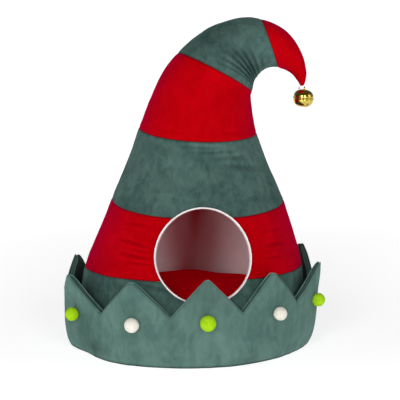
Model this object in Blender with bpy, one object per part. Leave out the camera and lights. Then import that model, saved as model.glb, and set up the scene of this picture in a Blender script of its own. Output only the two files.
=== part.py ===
"""A plush pet house in the form of an elf hat.

A padded cone of velvet bands stands on a round floor pad, bends over to +X and ends in a pinched tip with a
jingle bell. A bound round opening in the front leads to a lined cave with a cushion. A zigzag collar of padded
points stands round the foot, with a felted ball on each point. Metres, +Z up, the front faces -Y, and the
origin is on the floor under the middle of the foot.
"""

import math
from collections import namedtuple

import bmesh
import bpy
from mathutils import Matrix, Vector

# Clearance between neighbouring pieces
GAP = 0.0003

# The cone and its curl
HAT_HEIGHT = 0.645
CONE_RADIUS = 0.2235
TIP_REACH = 0.2255
PAD_THICKNESS = 0.020
WALL = 0.008
LINING = 0.002
SEAM_DIP = 0.0015
SEAM_ROUND = 0.009
GATHER_DEPTH = 0.003

# The way in
OPENING_HEIGHT = 0.211
OPENING_TURN = -3.25
OPENING_RADIUS = 0.0906
BINDING_WIDTH = 0.003
BINDING_PROUD = 0.0025

# The cushion
CUSHION_THICKNESS = 0.085
CUSHION_CLEARANCE = 0.004

# The collar, its points and their balls
COLLAR_STAND_OFF = 0.0035
COLLAR_SPREAD = 0.0165
COLLAR_THICKNESS = 0.012
VALLEY_HEIGHT = 0.100
POINT_HEIGHT = 0.167
POINT_LEAN = 0.013
POMPOM_DIAMETER = 0.030
POMPOM_HEIGHT = 0.088

# The bell and its ribbon
BELL_DIAMETER = 0.0425
BELL_HEIGHT = 0.035
BELL_SHEET = 0.001
BELL_TURN = 6.0
BELL_SHIFT = 0.005
SLOT_WIDTH = 0.0028
SLOT_END_DIAMETER = 0.0055
SHANK_RADIUS = 0.0034
SHANK_WIRE = 0.0018
RIBBON_WIDTH = 0.0026
RIBBON_THICKNESS = 0.001

CONE_SIDES = 40
CURL_SIDES = 32

# Sections of the hat from its foot to its tip. Height is a share of the rise above the floor pad, reach of
# TIP_REACH and radius of CONE_RADIUS. Depth is the front to back radius over the radius across. Tilt turns a
# section's right end down and nod turns its front edge down, both in degrees.
Section = namedtuple("Section", "name height reach radius depth tilt nod")
SECTIONS = (
    Section("foot", 0.000, 0.000, 0.964, 1.00, 0.0, 0.0),
    Section("low", 0.064, 0.009, 0.991, 1.00, 0.0, 0.0),
    Section("brim", 0.128, 0.018, 1.000, 1.00, 0.0, -1.0),
    Section("seam_1", 0.211, 0.027, 0.977, 1.00, 0.0, -3.0),
    Section("mouth", 0.321, 0.050, 0.872, 1.00, 0.0, 0.5),
    Section("seam_2", 0.424, 0.064, 0.766, 1.00, 0.0, 3.6),
    Section("middle", 0.531, 0.063, 0.640, 1.00, 0.5, 4.2),
    Section("seam_3", 0.646, 0.067, 0.520, 1.00, 2.0, 4.6),
    Section("crown", 0.776, 0.123, 0.421, 1.00, 10.0, 2.0),
    Section("seam_4", 0.828, 0.217, 0.369, 1.00, 28.7, -5.0),
    Section("bend_1", 0.878, 0.359, 0.320, 1.00, 52.7, -2.0),
    Section("bend_2", 0.901, 0.450, 0.281, 1.00, 61.8, 0.0),
    Section("bend_3", 0.920, 0.577, 0.242, 0.96, 68.0, 3.0),
    Section("seam_5", 0.919, 0.700, 0.222, 0.88, 70.7, 5.0),
    Section("curl_1", 0.895, 0.845, 0.161, 0.83, 96.0, 3.0),
    Section("curl_2", 0.854, 0.947, 0.102, 0.77, 112.0, 0.0),
    Section("curl_3", 0.811, 0.996, 0.055, 0.85, 133.0, 0.0),
    Section("tip", 0.783, 1.000, 0.017, 1.10, 165.0, 0.0),
)
ROW = {section.name: index for index, section in enumerate(SECTIONS)}

# Bands from the foot up: the sections that they run between, how many rings, and hollow or stuffed.
Band = namedtuple("Band", "name start end rings hollow red")
BANDS = (
    Band("band_1_green", "foot", "seam_1", 4, True, False),
    Band("band_2_red", "seam_1", "seam_2", 3, True, True),
    Band("band_3_green", "seam_2", "seam_3", 3, True, False),
    Band("band_4_red", "seam_3", "seam_4", 4, False, True),
    Band("band_5_green", "seam_4", "seam_5", 15, False, False),
    Band("band_6_red", "seam_5", "tip", 8, False, True),
)

# Gathers on the inner side of the bend: how many, over which rows, and how far round they reach in degrees.
GATHER_COUNT = 4
GATHER_START = ROW["seam_4"] + 0.1
GATHER_END = ROW["bend_3"] + 0.3
GATHER_REACH = 48.0

# Outer face of the collar below its points, as shares of VALLEY_HEIGHT and of the collar's outer radius. Wave is
# how much of the foot's waves reaches this height.
CollarRing = namedtuple("CollarRing", "height radius wave")
COLLAR_RINGS = (
    CollarRing(0.00, 0.957, 1.0),
    CollarRing(0.13, 0.976, 0.6),
    CollarRing(0.40, 0.992, 0.0),
    CollarRing(0.80, 1.000, 0.0),
)
# Waves of the collar's foot: where each is and its half width in degrees, and how far it comes in as a share of
# the collar's outer radius.
FootWave = namedtuple("FootWave", "angle spread depth")
FOOT_WAVES = (
    FootWave(-73.0, 13.0, 0.095),
    FootWave(-40.0, 12.0, -0.018),
    FootWave(14.0, 12.0, -0.016),
)

# Points of the collar from the front one round to the right: turn from an even spacing in degrees, height as a
# share of POINT_HEIGHT and lean of POINT_LEAN. Then its ball's own turn, its height over POMPOM_HEIGHT and its
# size over POMPOM_DIAMETER.
Point = namedtuple("Point", "turn height lean ball_turn ball_height ball_size")
POINTS = (
    Point(0.0, 1.04, 1.0, 0.0, 1.06, 1.00),
    Point(-4.8, 1.06, 1.0, -1.2, 1.10, 0.86),
    Point(-2.0, 1.01, 1.1, -6.0, 1.10, 0.88),
    Point(1.5, 1.02, 1.0, 4.0, 1.05, 0.95),
    Point(0.0, 1.00, 1.0, 0.0, 1.00, 0.95),
    Point(0.0, 1.00, 1.0, 0.0, 1.00, 0.95),
    Point(0.0, 1.00, 1.0, 0.0, 1.00, 0.95),
    Point(-5.0, 0.95, -0.3, -8.0, 0.95, 0.95),
    Point(-0.5, 0.93, 1.0, 3.2, 0.92, 0.88),
    Point(2.0, 0.99, 1.0, 2.6, 0.96, 0.93),
)
# The valley that follows each point: turn in degrees and height as a share of VALLEY_HEIGHT.
Valley = namedtuple("Valley", "turn height")
VALLEYS = (
    Valley(-0.7, 1.05),
    Valley(-4.0, 1.075),
    Valley(-2.0, 1.04),
    Valley(0.0, 1.00),
    Valley(0.0, 1.00),
    Valley(0.0, 1.00),
    Valley(-1.0, 0.98),
    Valley(-2.0, 0.96),
    Valley(2.3, 0.95),
    Valley(1.2, 1.00),
)
# Rings of the points, from the start of the points up: share of the rise and share of the lean.
PointRing = namedtuple("PointRing", "rise lean")
POINT_RINGS = (
    PointRing(0.0, 0.0),
    PointRing(0.35, 0.22),
    PointRing(0.70, 0.60),
    PointRing(1.0, 1.0),
)
STEPS_PER_EDGE = 3

# Turned outline of the cushion, as height and radius over its thickness and radius, and the height of its middle.
CushionRing = namedtuple("CushionRing", "height radius")
CUSHION_RINGS = (
    CushionRing(0.00, 0.84),
    CushionRing(0.12, 0.95),
    CushionRing(0.42, 1.00),
    CushionRing(0.72, 0.97),
    CushionRing(0.90, 0.88),
    CushionRing(1.00, 0.70),
    CushionRing(0.97, 0.35),
)
CUSHION_MIDDLE = 0.95

SEAT_HEIGHT = PAD_THICKNESS + GAP
COLLAR_RADIUS = CONE_RADIUS + COLLAR_STAND_OFF + COLLAR_THICKNESS
HOLE_RADIUS = OPENING_RADIUS + BINDING_WIDTH + GAP
LINING_INSET = WALL + GAP
CAVE_INSET = LINING_INSET + LINING


def real_rows():
    """The table's rows as centre x, centre z, radius, depth, tilt and nod."""
    rise = HAT_HEIGHT - SEAT_HEIGHT
    rows = []
    for section in SECTIONS:
        x = section.reach * TIP_REACH
        z = SEAT_HEIGHT + section.height * rise
        rows.append((x, z, section.radius * CONE_RADIUS, section.depth, section.tilt, section.nod))
    return rows


def distances(rows):
    """Distance along the centres from the first row to each row."""
    knots = [0.0]
    for before, after in zip(rows, rows[1:]):
        knots.append(knots[-1] + math.dist(before[:2], after[:2]))
    return knots


ROWS = real_rows()
KNOTS = distances(ROWS)
Frame = namedtuple("Frame", "centre radius depth across deep normal")


def slope(index, column):
    """Change of one column for each metre along the centres, at a row."""
    before = max(index - 1, 0)
    after = min(index + 1, len(ROWS) - 1)
    return (ROWS[after][column] - ROWS[before][column]) / (KNOTS[after] - KNOTS[before])


def section_values(row):
    """Every column at a fractional row, from a cubic curve through the rows."""
    index = min(int(row), len(ROWS) - 2)
    t = row - index
    span = KNOTS[index + 1] - KNOTS[index]
    values = []
    for column in range(len(ROWS[0])):
        ease = t * t * (3 - 2 * t)
        value = ROWS[index][column] * (1 - ease) + ROWS[index + 1][column] * ease
        value += span * slope(index, column) * t * (1 - t) ** 2
        value -= span * slope(index + 1, column) * t * t * (1 - t)
        values.append(value)
    return values


def frame_at(row):
    x, z, radius, depth, tilt, nod = section_values(row)
    tilt = math.radians(tilt)
    nod = math.radians(nod)
    across = Vector((math.cos(tilt), 0, -math.sin(tilt)))
    up = Vector((math.sin(tilt), 0, math.cos(tilt)))
    back = Vector((0, 1, 0))
    deep = back * math.cos(nod) + up * math.sin(nod)
    normal = up * math.cos(nod) - back * math.sin(nod)
    return Frame(Vector((x, 0, z)), radius, depth, across, deep, normal)


def gather(row, angle):
    """How far the cloth is drawn in by the gathers at a row and an angle in degrees."""
    if not GATHER_START < row < GATHER_END:
        return 0.0
    along = (row - GATHER_START) / (GATHER_END - GATHER_START)
    away = abs((angle - 90 + 180) % 360 - 180) / GATHER_REACH
    wave = 0.25 - 0.75 * math.cos(2 * math.pi * GATHER_COUNT * along)
    return GATHER_DEPTH * wave * math.sin(math.pi * along) * math.exp(-away * away)


def horn_point(row, angle, inset=0.0, shift=0.0):
    """A point of the hat's skin. Angle 0 is the front and 90 is +X. Shift moves it off the section's plane."""
    frame = frame_at(row)
    turn = math.radians(angle)
    inset = inset + gather(row, angle)
    across = (frame.radius - inset) * math.sin(turn)
    deep = (frame.radius * frame.depth - inset) * math.cos(turn)
    return frame.centre + frame.across * across - frame.deep * deep + frame.normal * shift


def horn_ring(row, sides, inset=0.0, shift=0.0):
    return [horn_point(row, 360 * side / sides, inset, shift) for side in range(sides)]


def row_at_height(height):
    """The fractional row, below the bend, whose centre is at this height."""
    low, high = 0.0, float(ROW["seam_3"])
    for _ in range(40):
        middle = (low + high) / 2
        if section_values(middle)[1] < height:
            low = middle
        else:
            high = middle
    return low


def row_near(row, distance):
    """The row this far along the centres from a whole row, forward or back."""
    other = row + (1 if distance > 0 else -1)
    return row + distance / abs(KNOTS[other] - KNOTS[row])


def cloth(name, colour, roughness=0.9, metallic=0.0):
    material = bpy.data.materials.new(name)
    material.use_nodes = True
    shader = material.node_tree.nodes["Principled BSDF"]
    shader.inputs["Base Color"].default_value = (*colour, 1)
    shader.inputs["Roughness"].default_value = roughness
    shader.inputs["Metallic"].default_value = metallic
    material.diffuse_color = (*colour, 1)
    return material


def add_object(name, bm, material, smooth_angle=50.0):
    """A named object from a bmesh, with its faces outward and its round parts smooth."""
    bmesh.ops.recalc_face_normals(bm, faces=bm.faces)
    mesh = bpy.data.meshes.new(name)
    bm.to_mesh(mesh)
    bm.free()
    obj = bpy.data.objects.new(name, mesh)
    bpy.context.scene.collection.objects.link(obj)
    mesh.shade_smooth()
    mesh.set_sharp_from_angle(angle=math.radians(smooth_angle))
    if material:
        mesh.materials.append(material)
    return obj


def skin(bm, rings, closed=False):
    """Faces between each ring of points and the next, and back to the first where closed. Gives the vertices."""
    loops = [[bm.verts.new(point) for point in ring] for ring in rings]
    pairs = list(zip(loops, loops[1:]))
    if closed:
        pairs.append((loops[-1], loops[0]))
    for lower, upper in pairs:
        count = len(lower)
        for i in range(count):
            j = (i + 1) % count
            bm.faces.new((lower[i], lower[j], upper[j], upper[i]))
    return loops


def capped(rings):
    """A solid of rings with a flat face on its first and its last."""
    bm = bmesh.new()
    loops = skin(bm, rings)
    bm.faces.new(loops[0])
    bm.faces.new(loops[-1])
    return bm


def turned(profile, sides):
    """A solid turned round Z from (radius, height) pairs that start and end on the axis."""
    bm = bmesh.new()
    rings = []
    for radius, height in profile[1:-1]:
        angles = [2 * math.pi * side / sides for side in range(sides)]
        rings.append([Vector((radius * math.cos(a), radius * math.sin(a), height)) for a in angles])
    loops = skin(bm, rings)
    for loop, end in ((loops[0], profile[0]), (loops[-1], profile[-1])):
        pole = bm.verts.new((0, 0, end[1]))
        for i in range(sides):
            bm.faces.new((loop[i], loop[(i + 1) % sides], pole))
    return bm


def hide(obj):
    obj.hide_render = True
    obj.display_type = "WIRE"
    return obj


def boolean(obj, other, operation="DIFFERENCE"):
    modifier = obj.modifiers.new(f"{operation.lower()} {other.name}", "BOOLEAN")
    modifier.operation = operation
    modifier.object = other
    modifier.solver = "EXACT"


def band_rows(band):
    """The rows of a band's rings, from just above its lower seam to just below its upper one."""
    start = row_near(ROW[band.start], SEAM_ROUND)
    end = row_near(ROW[band.end], -SEAM_ROUND)
    return [start + (end - start) * i / (band.rings - 1) for i in range(band.rings)]


def make_bands(red, green):
    """The velvet bands: padded walls round the cave, and stuffed ones above it."""
    made = {}
    for band in BANDS:
        first, last = ROW[band.start], ROW[band.end]
        sides = CONE_SIDES if band.hollow else CURL_SIDES
        rows = band_rows(band)
        rings = [horn_ring(first, sides, SEAM_DIP, GAP / 2)]
        rings += [horn_ring(row, sides) for row in rows]
        rings.append(horn_ring(last, sides, SEAM_DIP, -GAP / 2))
        if band.hollow:
            rings.append(horn_ring(last, sides, WALL, -GAP / 2))
            rings += [horn_ring(row, sides, WALL) for row in reversed(rows[1:-1])]
            rings.append(horn_ring(first, sides, WALL, GAP / 2))
            bm = bmesh.new()
            skin(bm, rings, closed=True)
        else:
            bm = capped(rings)
        made[band.name] = add_object(band.name, bm, red if band.red else green)
    return made


def make_lining(material):
    """The cave's inner cloth: a wall from the floor pad up to a flat ceiling at the third seam."""
    top = ROW["seam_3"]
    rows = []
    for band in BANDS:
        if band.hollow:
            rows += [ROW[band.start], *band_rows(band)[1:-1]]
    outside = [horn_ring(row, CONE_SIDES, LINING_INSET) for row in rows]
    outside.append(horn_ring(top, CONE_SIDES, LINING_INSET, -GAP))
    inside = [horn_ring(row, CONE_SIDES, CAVE_INSET) for row in rows]
    inside.append(horn_ring(top, CONE_SIDES, CAVE_INSET, -GAP - LINING))
    bm = capped(inside[::-1] + outside)
    return add_object("lining", bm, material)


Mouth = namedtuple("Mouth", "centre across up out")


def mouth_frame():
    """The middle of the way in on the hat's skin, with the directions across it, up it and out of it."""
    row = row_at_height(OPENING_HEIGHT)
    for _ in range(20):
        row += (OPENING_HEIGHT - horn_point(row, OPENING_TURN).z) / (KNOTS[-1] / len(KNOTS)) / 2
    centre = horn_point(row, OPENING_TURN)
    up = (horn_point(row + 0.4, OPENING_TURN) - horn_point(row - 0.4, OPENING_TURN)).normalized()
    side = horn_point(row, OPENING_TURN + 4) - horn_point(row, OPENING_TURN - 4)
    out = side.cross(up).normalized()
    return Mouth(centre, up.cross(out), up, out)


def outside_skin(point):
    """How far a point is outside the cone's skin, across the cone."""
    row = row_at_height(point.z)
    for _ in range(6):
        frame = frame_at(row)
        off = (point - frame.centre).dot(frame.normal)
        row += off / (KNOTS[int(row) + 1] - KNOTS[int(row)])
        row = min(max(row, 0.0), ROW["seam_3"] + 0.9)
    frame = frame_at(row)
    across = (point - frame.centre).dot(frame.across)
    deep = (point - frame.centre).dot(frame.deep) / frame.depth
    return math.hypot(across, deep) - frame.radius


def onto_skin(point, out):
    """Slides a point along a direction until it lies on the cone's skin."""
    low, high = -CONE_RADIUS / 2, CONE_RADIUS / 2
    for _ in range(30):
        middle = (low + high) / 2
        if outside_skin(point + out * middle) < 0:
            low = middle
        else:
            high = middle
    return point + out * low


def mouth_cutter(mouth):
    """A bar through the wall, from the middle of the cave to outside."""
    bm = bmesh.new()
    bmesh.ops.create_cone(
        bm, cap_ends=True, segments=64, radius1=HOLE_RADIUS, radius2=HOLE_RADIUS, depth=CONE_RADIUS
    )
    cutter = hide(add_object("opening_cutter", bm, None))
    turn = Matrix((mouth.across, mouth.up, mouth.out)).transposed().to_4x4()
    cutter.matrix_world = Matrix.Translation(mouth.centre) @ turn
    return cutter


def make_binding(mouth, material):
    """The bound edge: a rounded strip that wraps the cut edge of the wall and its lining."""
    sides = 46
    half = BINDING_WIDTH / 2
    middle = OPENING_RADIUS + half
    inner_end = -(CAVE_INSET * 1.25 + BINDING_PROUD)
    outline = (
        (half, BINDING_PROUD - half),
        (0.5 * half, BINDING_PROUD),
        (-0.5 * half, BINDING_PROUD),
        (-half, BINDING_PROUD - half),
        (-half, inner_end + half),
        (-0.5 * half, inner_end),
        (0.5 * half, inner_end),
        (half, inner_end + half),
    )
    turns = [2 * math.pi * side / sides for side in range(sides)]
    spokes = [mouth.across * math.cos(turn) + mouth.up * math.sin(turn) for turn in turns]
    edges = [onto_skin(mouth.centre + spoke * middle, mouth.out) for spoke in spokes]
    rings = []
    for radial, axial in outline:
        rings.append([edge + spoke * radial + mouth.out * axial for edge, spoke in zip(edges, spokes)])
    bm = bmesh.new()
    skin(bm, rings, closed=True)
    return add_object("opening_binding", bm, material)


def foot_wave(angle):
    """How far the waves of the collar's foot come in at an angle, as a share of its outer radius."""
    total = 0.0
    for wave in FOOT_WAVES:
        away = ((angle - wave.angle + 180) % 360 - 180) / wave.spread
        total += wave.depth * math.exp(-away * away)
    return total


def collar_outline(angle, height):
    """Outer radius of the collar under its points. It is an ellipse, wider from side to side."""
    turn = math.radians(angle)
    radius = 1 / math.hypot(math.sin(turn) / (COLLAR_RADIUS + COLLAR_SPREAD), math.cos(turn) / COLLAR_RADIUS)
    share = height / VALLEY_HEIGHT
    for lower, upper in zip(COLLAR_RINGS, COLLAR_RINGS[1:]):
        if share <= upper.height:
            t = (share - lower.height) / (upper.height - lower.height)
            wave = lower.wave + (upper.wave - lower.wave) * t
            return radius * (lower.radius + (upper.radius - lower.radius) * t - wave * foot_wave(angle))
    return radius * COLLAR_RINGS[-1].radius


def collar_columns():
    """Round the collar: angle, top height and lean of each column, with one on every point and valley."""
    pitch = 360 / len(POINTS)
    stops = []
    for index, (point, valley) in enumerate(zip(POINTS, VALLEYS)):
        stops.append((index * pitch + point.turn, POINT_HEIGHT * point.height, POINT_LEAN * point.lean))
        stops.append(((index + 0.5) * pitch + valley.turn, VALLEY_HEIGHT * valley.height, 0.0))
    first = stops[0]
    stops.append((first[0] + 360, *first[1:]))
    columns = []
    for before, after in zip(stops, stops[1:]):
        for step in range(STEPS_PER_EDGE):
            t = step / STEPS_PER_EDGE
            columns.append(tuple(a + (b - a) * t for a, b in zip(before, after)))
    return columns


def collar_point(angle, height, lean=0.0, inset=0.0):
    """A point of the collar's outer face, or one set in from it. Lean is how far it leans out at this height."""
    radius = collar_outline(angle, height) + lean - inset
    turn = math.radians(angle)
    return Vector((radius * math.sin(turn), -radius * math.cos(turn), height))


def collar_lean(height, top, lean):
    """The lean at a height: none where the points start, and all of it at the tip of a point."""
    start = COLLAR_RINGS[-1].height * VALLEY_HEIGHT
    share = (height - start) / max(top - start, GAP)
    for lower, upper in zip(POINT_RINGS, POINT_RINGS[1:]):
        if lower.rise < share <= upper.rise:
            t = (share - lower.rise) / (upper.rise - lower.rise)
            return lean * (lower.lean + (upper.lean - lower.lean) * t)
    return lean if share > 1 else 0.0


def collar_levels():
    """Heights of the collar's rings under its points. One is level with the floor pad's top."""
    heights = [ring.height * VALLEY_HEIGHT for ring in COLLAR_RINGS]
    return sorted([height for height in heights if abs(height - PAD_THICKNESS) > GAP] + [PAD_THICKNESS])


def make_collar(material):
    columns = collar_columns()
    start = COLLAR_RINGS[-1].height * VALLEY_HEIGHT
    rings = []
    for height in collar_levels():
        rings.append([collar_point(angle, height) for angle, _, _ in columns])
    upper = POINT_RINGS[1:]
    for inset, point_rings in ((0.0, upper), (COLLAR_THICKNESS, upper[::-1])):
        for point_ring in point_rings:
            ring = []
            for angle, top, lean in columns:
                height = start + (top - start) * point_ring.rise
                ring.append(collar_point(angle, height, lean * point_ring.lean, inset))
            rings.append(ring)
    for height in reversed(collar_levels()):
        rings.append([collar_point(angle, height, 0.0, COLLAR_THICKNESS) for angle, _, _ in columns])
    bm = bmesh.new()
    skin(bm, rings, closed=True)
    return add_object("collar", bm, material, 40.0)


def make_floor_pad(material):
    """The round floor. Its edge follows the collar's inner face, and its top carries the cone."""
    levels = [level for level in collar_levels() if level <= PAD_THICKNESS]
    inset = COLLAR_THICKNESS + GAP
    columns = collar_columns()
    rings = [[collar_point(column[0], level, 0.0, inset) for column in columns] for level in reversed(levels)]
    return add_object("floor_pad", capped(rings), material)


def make_cushion(material):
    """The loose cushion: it fills the cave's floor, with a clearance to the lining."""
    half = CUSHION_THICKNESS / 2
    frame = frame_at(row_at_height(SEAT_HEIGHT + half))
    low = frame_at(0)
    radius = min(frame.radius, low.radius) - CAVE_INSET - CUSHION_CLEARANCE
    profile = [(0, 0)]
    for ring in CUSHION_RINGS:
        profile.append((radius * ring.radius, CUSHION_THICKNESS * ring.height))
    profile.append((0, CUSHION_THICKNESS * CUSHION_MIDDLE))
    cushion = add_object("cushion", turned(profile, 36), material)
    cushion.location = (frame.centre.x, 0, SEAT_HEIGHT)
    return cushion


def make_pompom(index, material):
    """A felted ball with a flat back that sits on the collar's outer face, under one of its points."""
    point = POINTS[index]
    radius = POMPOM_DIAMETER * point.ball_size / 2
    height = POMPOM_HEIGHT * point.ball_height
    reach = 0.6 * radius
    back = -0.8 * radius
    columns = collar_columns()
    pitch = 360 / len(POINTS)
    angle = index * pitch + point.ball_turn
    top, lean = min(columns, key=lambda c: abs((c[0] - angle + 180) % 360 - 180))[1:]

    def on_collar(turn, rise):
        level = height + rise
        return collar_point(angle + turn, level, collar_lean(level, top, lean))

    middle = on_collar(0, 0)
    up = (on_collar(0, reach) - on_collar(0, -reach)).normalized()
    across = (on_collar(pitch / 8, 0) - on_collar(-pitch / 8, 0)).normalized()
    out = across.cross(up)
    seat = 0.0
    for step in range(-6, 7):
        step_off = on_collar(0, radius * step / 6) - middle
        ball = math.sqrt(max(radius * radius - step_off.dot(up) ** 2, 0.0))
        seat = max(seat, step_off.dot(out) + min(ball, -back))
    bm = bmesh.new()
    bmesh.ops.create_uvsphere(bm, u_segments=10, v_segments=7, radius=radius)
    for vert in bm.verts:
        vert.co.z = max(vert.co.z, back)
    flat = [face for face in bm.faces if all(vert.co.z == back for vert in face.verts)]
    bmesh.ops.dissolve_faces(bm, faces=flat)
    pompom = add_object(f"pompom_{index + 1:02d}", bm, material)
    turn = Matrix((across, up, out)).transposed().to_4x4()
    pompom.matrix_world = Matrix.Translation(middle + out * (seat + GAP)) @ turn
    return pompom


def bell_profile(radius, height):
    """A turned egg outline with a raised lip round its middle."""
    lip = 0.04 * radius
    profile = []
    for step in range(11):
        turn = math.pi * step / 10 - math.pi / 2
        profile.append((radius * math.cos(turn), height * math.sin(turn)))
    middle = profile[5]
    profile[5:6] = [(middle[0], -lip), (middle[0] + lip, -lip), (middle[0] + lip, lip), (middle[0], lip)]
    return profile


def slot_cutters(name, turn, place):
    """One slot across the bell's lower half: a bar and the round holes that it ends in."""
    end = -0.30 * BELL_HEIGHT
    bar = bmesh.new()
    size = (BELL_DIAMETER * 1.2, SLOT_WIDTH, BELL_HEIGHT)
    bmesh.ops.create_cube(bar, size=1, matrix=Matrix.Diagonal((*size, 1)))
    bmesh.ops.translate(bar, verts=bar.verts, vec=(0, 0, end - BELL_HEIGHT / 2))
    hole = bmesh.new()
    radius = SLOT_END_DIAMETER / 2
    bmesh.ops.create_cone(
        hole, cap_ends=True, segments=12, radius1=radius, radius2=radius, depth=BELL_DIAMETER * 1.2
    )
    bmesh.ops.rotate(hole, verts=hole.verts, matrix=Matrix.Rotation(math.pi / 2, 3, "Y"))
    bmesh.ops.translate(hole, verts=hole.verts, vec=(0, 0, end))
    cutters = []
    for part, bm in (("bar", bar), ("ends", hole)):
        cutter = hide(add_object(f"{name}_{part}", bm, None))
        cutter.matrix_world = place @ Matrix.Rotation(turn, 4, "Z")
        cutters.append(cutter)
    return cutters


def tip_end():
    """The middle of the tip's end face."""
    return frame_at(len(ROWS) - 1).centre


def shank_depth():
    """How far the top of the bell's shank lies under the tip, with the ribbon between them."""
    return GAP + RIBBON_THICKNESS + GAP


def make_bell(gold, tip):
    """A thin slotted shell with a wire shank on top, hung under the tip on its ribbon."""
    top = BELL_HEIGHT / 2
    shank_height = top + SHANK_RADIUS * 0.6
    reach = shank_height + SHANK_RADIUS + SHANK_WIRE / 2
    tilt = Matrix.Rotation(math.radians(BELL_TURN), 4, "Y")
    hang = Vector((BELL_SHIFT, 0, -shank_depth()))
    place = Matrix.Translation(tip + hang) @ tilt @ Matrix.Translation((0, 0, -reach))
    outer = turned(bell_profile(BELL_DIAMETER / 2 * 0.96, top), 20)
    bell = add_object("bell", outer, gold)
    inner_radius = BELL_DIAMETER / 2 * 0.96 - BELL_SHEET
    inner = bmesh.new()
    bmesh.ops.create_uvsphere(inner, u_segments=16, v_segments=10, radius=1)
    bmesh.ops.scale(inner, verts=inner.verts, vec=(inner_radius, inner_radius, top - BELL_SHEET))
    hollow = hide(add_object("bell_hollow", inner, None))
    shank = bmesh.new()
    rings = []
    for side in range(14):
        turn = 2 * math.pi * side / 14
        spoke = Vector((0, math.cos(turn), math.sin(turn)))
        ring = []
        for corner in range(6):
            round_turn = 2 * math.pi * corner / 6
            step = spoke * math.cos(round_turn) + Vector((1, 0, 0)) * math.sin(round_turn)
            ring.append(Vector((0, 0, shank_height)) + spoke * SHANK_RADIUS + step * SHANK_WIRE / 2)
        rings.append(ring)
    skin(shank, rings, closed=True)
    wire = hide(add_object("bell_shank", shank, None))
    for obj in (bell, hollow, wire):
        obj.matrix_world = place
    boolean(bell, wire, "UNION")
    boolean(bell, hollow)
    for number, turn in enumerate((math.radians(25), math.radians(115))):
        for cutter in slot_cutters(f"bell_slot_{number}", turn, place):
            boolean(bell, cutter)
    return bell


def make_bell_loop(ribbon, tip):
    """The ribbon: a slack loop from the tip through the shank, hanging over the bell's left shoulder."""
    half = RIBBON_THICKNESS / 2
    wire = shank_depth()
    hole = SHANK_RADIUS - SHANK_WIRE / 2
    rounding = hole - math.sqrt(hole * hole - (RIBBON_WIDTH / 2) ** 2)
    low = wire + SHANK_WIRE + rounding + GAP + half
    beside = SHANK_WIRE / 2 + 2 * GAP + half
    slack = 0.22 * BELL_DIAMETER
    # Across from the tip and down from it, round the loop
    route = (
        (BELL_SHIFT, GAP + half),
        (BELL_SHIFT + beside + half, wire + half),
        (BELL_SHIFT + beside, low),
        (BELL_SHIFT - beside, low),
        (-slack, low + 0.30 * slack),
        (-1.15 * slack, low + 0.10 * slack),
        (-slack, low - 0.15 * slack),
        (-2 * half, GAP + half),
    )
    rings = []
    for index, (x, down) in enumerate(route):
        before, after = route[index - 1], route[(index + 1) % len(route)]
        along = Vector((after[0] - before[0], 0, before[1] - after[1])).normalized()
        side = Vector((-along.z, 0, along.x)) * half
        width = Vector((0, RIBBON_WIDTH / 2, 0))
        place = tip + Vector((x, 0, -down))
        corners = (side + width, side - width, -side - width, -side + width)
        rings.append([place + corner for corner in corners])
    bm = bmesh.new()
    skin(bm, rings, closed=True)
    return add_object("bell_loop", bm, ribbon, 30.0)


def main():
    for obj in list(bpy.data.objects):
        bpy.data.objects.remove(obj)
    red = cloth("red velvet", (0.46, 0.001, 0.006))
    green = cloth("green velvet", (0.058, 0.115, 0.10))
    collar_green = cloth("collar velvet", (0.10, 0.19, 0.165))
    pale = cloth("lining", (0.62, 0.55, 0.54))
    white = cloth("white binding", (0.82, 0.80, 0.78))
    dark = cloth("sole", (0.03, 0.05, 0.045))
    lime = cloth("lime felt", (0.38, 0.67, 0.01))
    cream = cloth("white felt", (0.80, 0.77, 0.68))
    gold = cloth("gold plate", (0.80, 0.60, 0.16), 0.15, 1.0)

    make_floor_pad(dark)
    bands = make_bands(red, green)
    lining = make_lining(pale)
    mouth = mouth_frame()
    cutter = mouth_cutter(mouth)
    for obj in (bands["band_1_green"], bands["band_2_red"], bands["band_3_green"], lining):
        boolean(obj, cutter)
    make_binding(mouth, white)
    make_cushion(red)
    make_collar(collar_green)
    for index in range(len(POINTS)):
        make_pompom(index, cream if index % 2 else lime)
    make_bell(gold, tip_end())
    make_bell_loop(red, tip_end())


main()
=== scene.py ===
# %% [markdown]
# # A pet house in the form of an elf hat
# The real thing is a padded cone of velvet bands with a curled tip, a round way in, a cushion and a zigzag
# collar with felted balls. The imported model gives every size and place. This script dresses it: each soft
# solid gets a fine mesh of cloth over the same form, and each material its nap, weave or gloss.

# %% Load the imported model
import functools
import math
from collections import namedtuple

import bmesh
import bpy
from mathutils import Matrix, Vector, noise


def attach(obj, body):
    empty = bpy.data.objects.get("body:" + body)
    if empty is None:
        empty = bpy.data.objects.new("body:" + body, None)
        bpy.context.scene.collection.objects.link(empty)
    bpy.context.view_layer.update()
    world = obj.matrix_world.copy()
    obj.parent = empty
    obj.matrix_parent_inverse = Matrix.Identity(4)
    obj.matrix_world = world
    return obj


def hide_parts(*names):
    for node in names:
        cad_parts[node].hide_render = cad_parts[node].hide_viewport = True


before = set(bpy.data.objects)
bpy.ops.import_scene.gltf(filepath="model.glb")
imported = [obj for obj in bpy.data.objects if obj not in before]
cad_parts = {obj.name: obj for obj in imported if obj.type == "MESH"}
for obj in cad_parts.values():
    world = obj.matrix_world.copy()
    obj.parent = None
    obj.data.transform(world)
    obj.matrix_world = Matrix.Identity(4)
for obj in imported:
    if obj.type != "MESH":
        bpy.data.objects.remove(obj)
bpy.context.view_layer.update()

scene = bpy.context.scene
print("nodes:", len(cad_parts))

# %% [markdown]
# ## The camera
# The photograph was taken from a little left of the front, three metres off and slightly above the curl. A
# long lens keeps the upright lines straight. The angle, height and lens were worked out from the outlines of
# the foot, the way in and the tip, and then kept as plain numbers.

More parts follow.
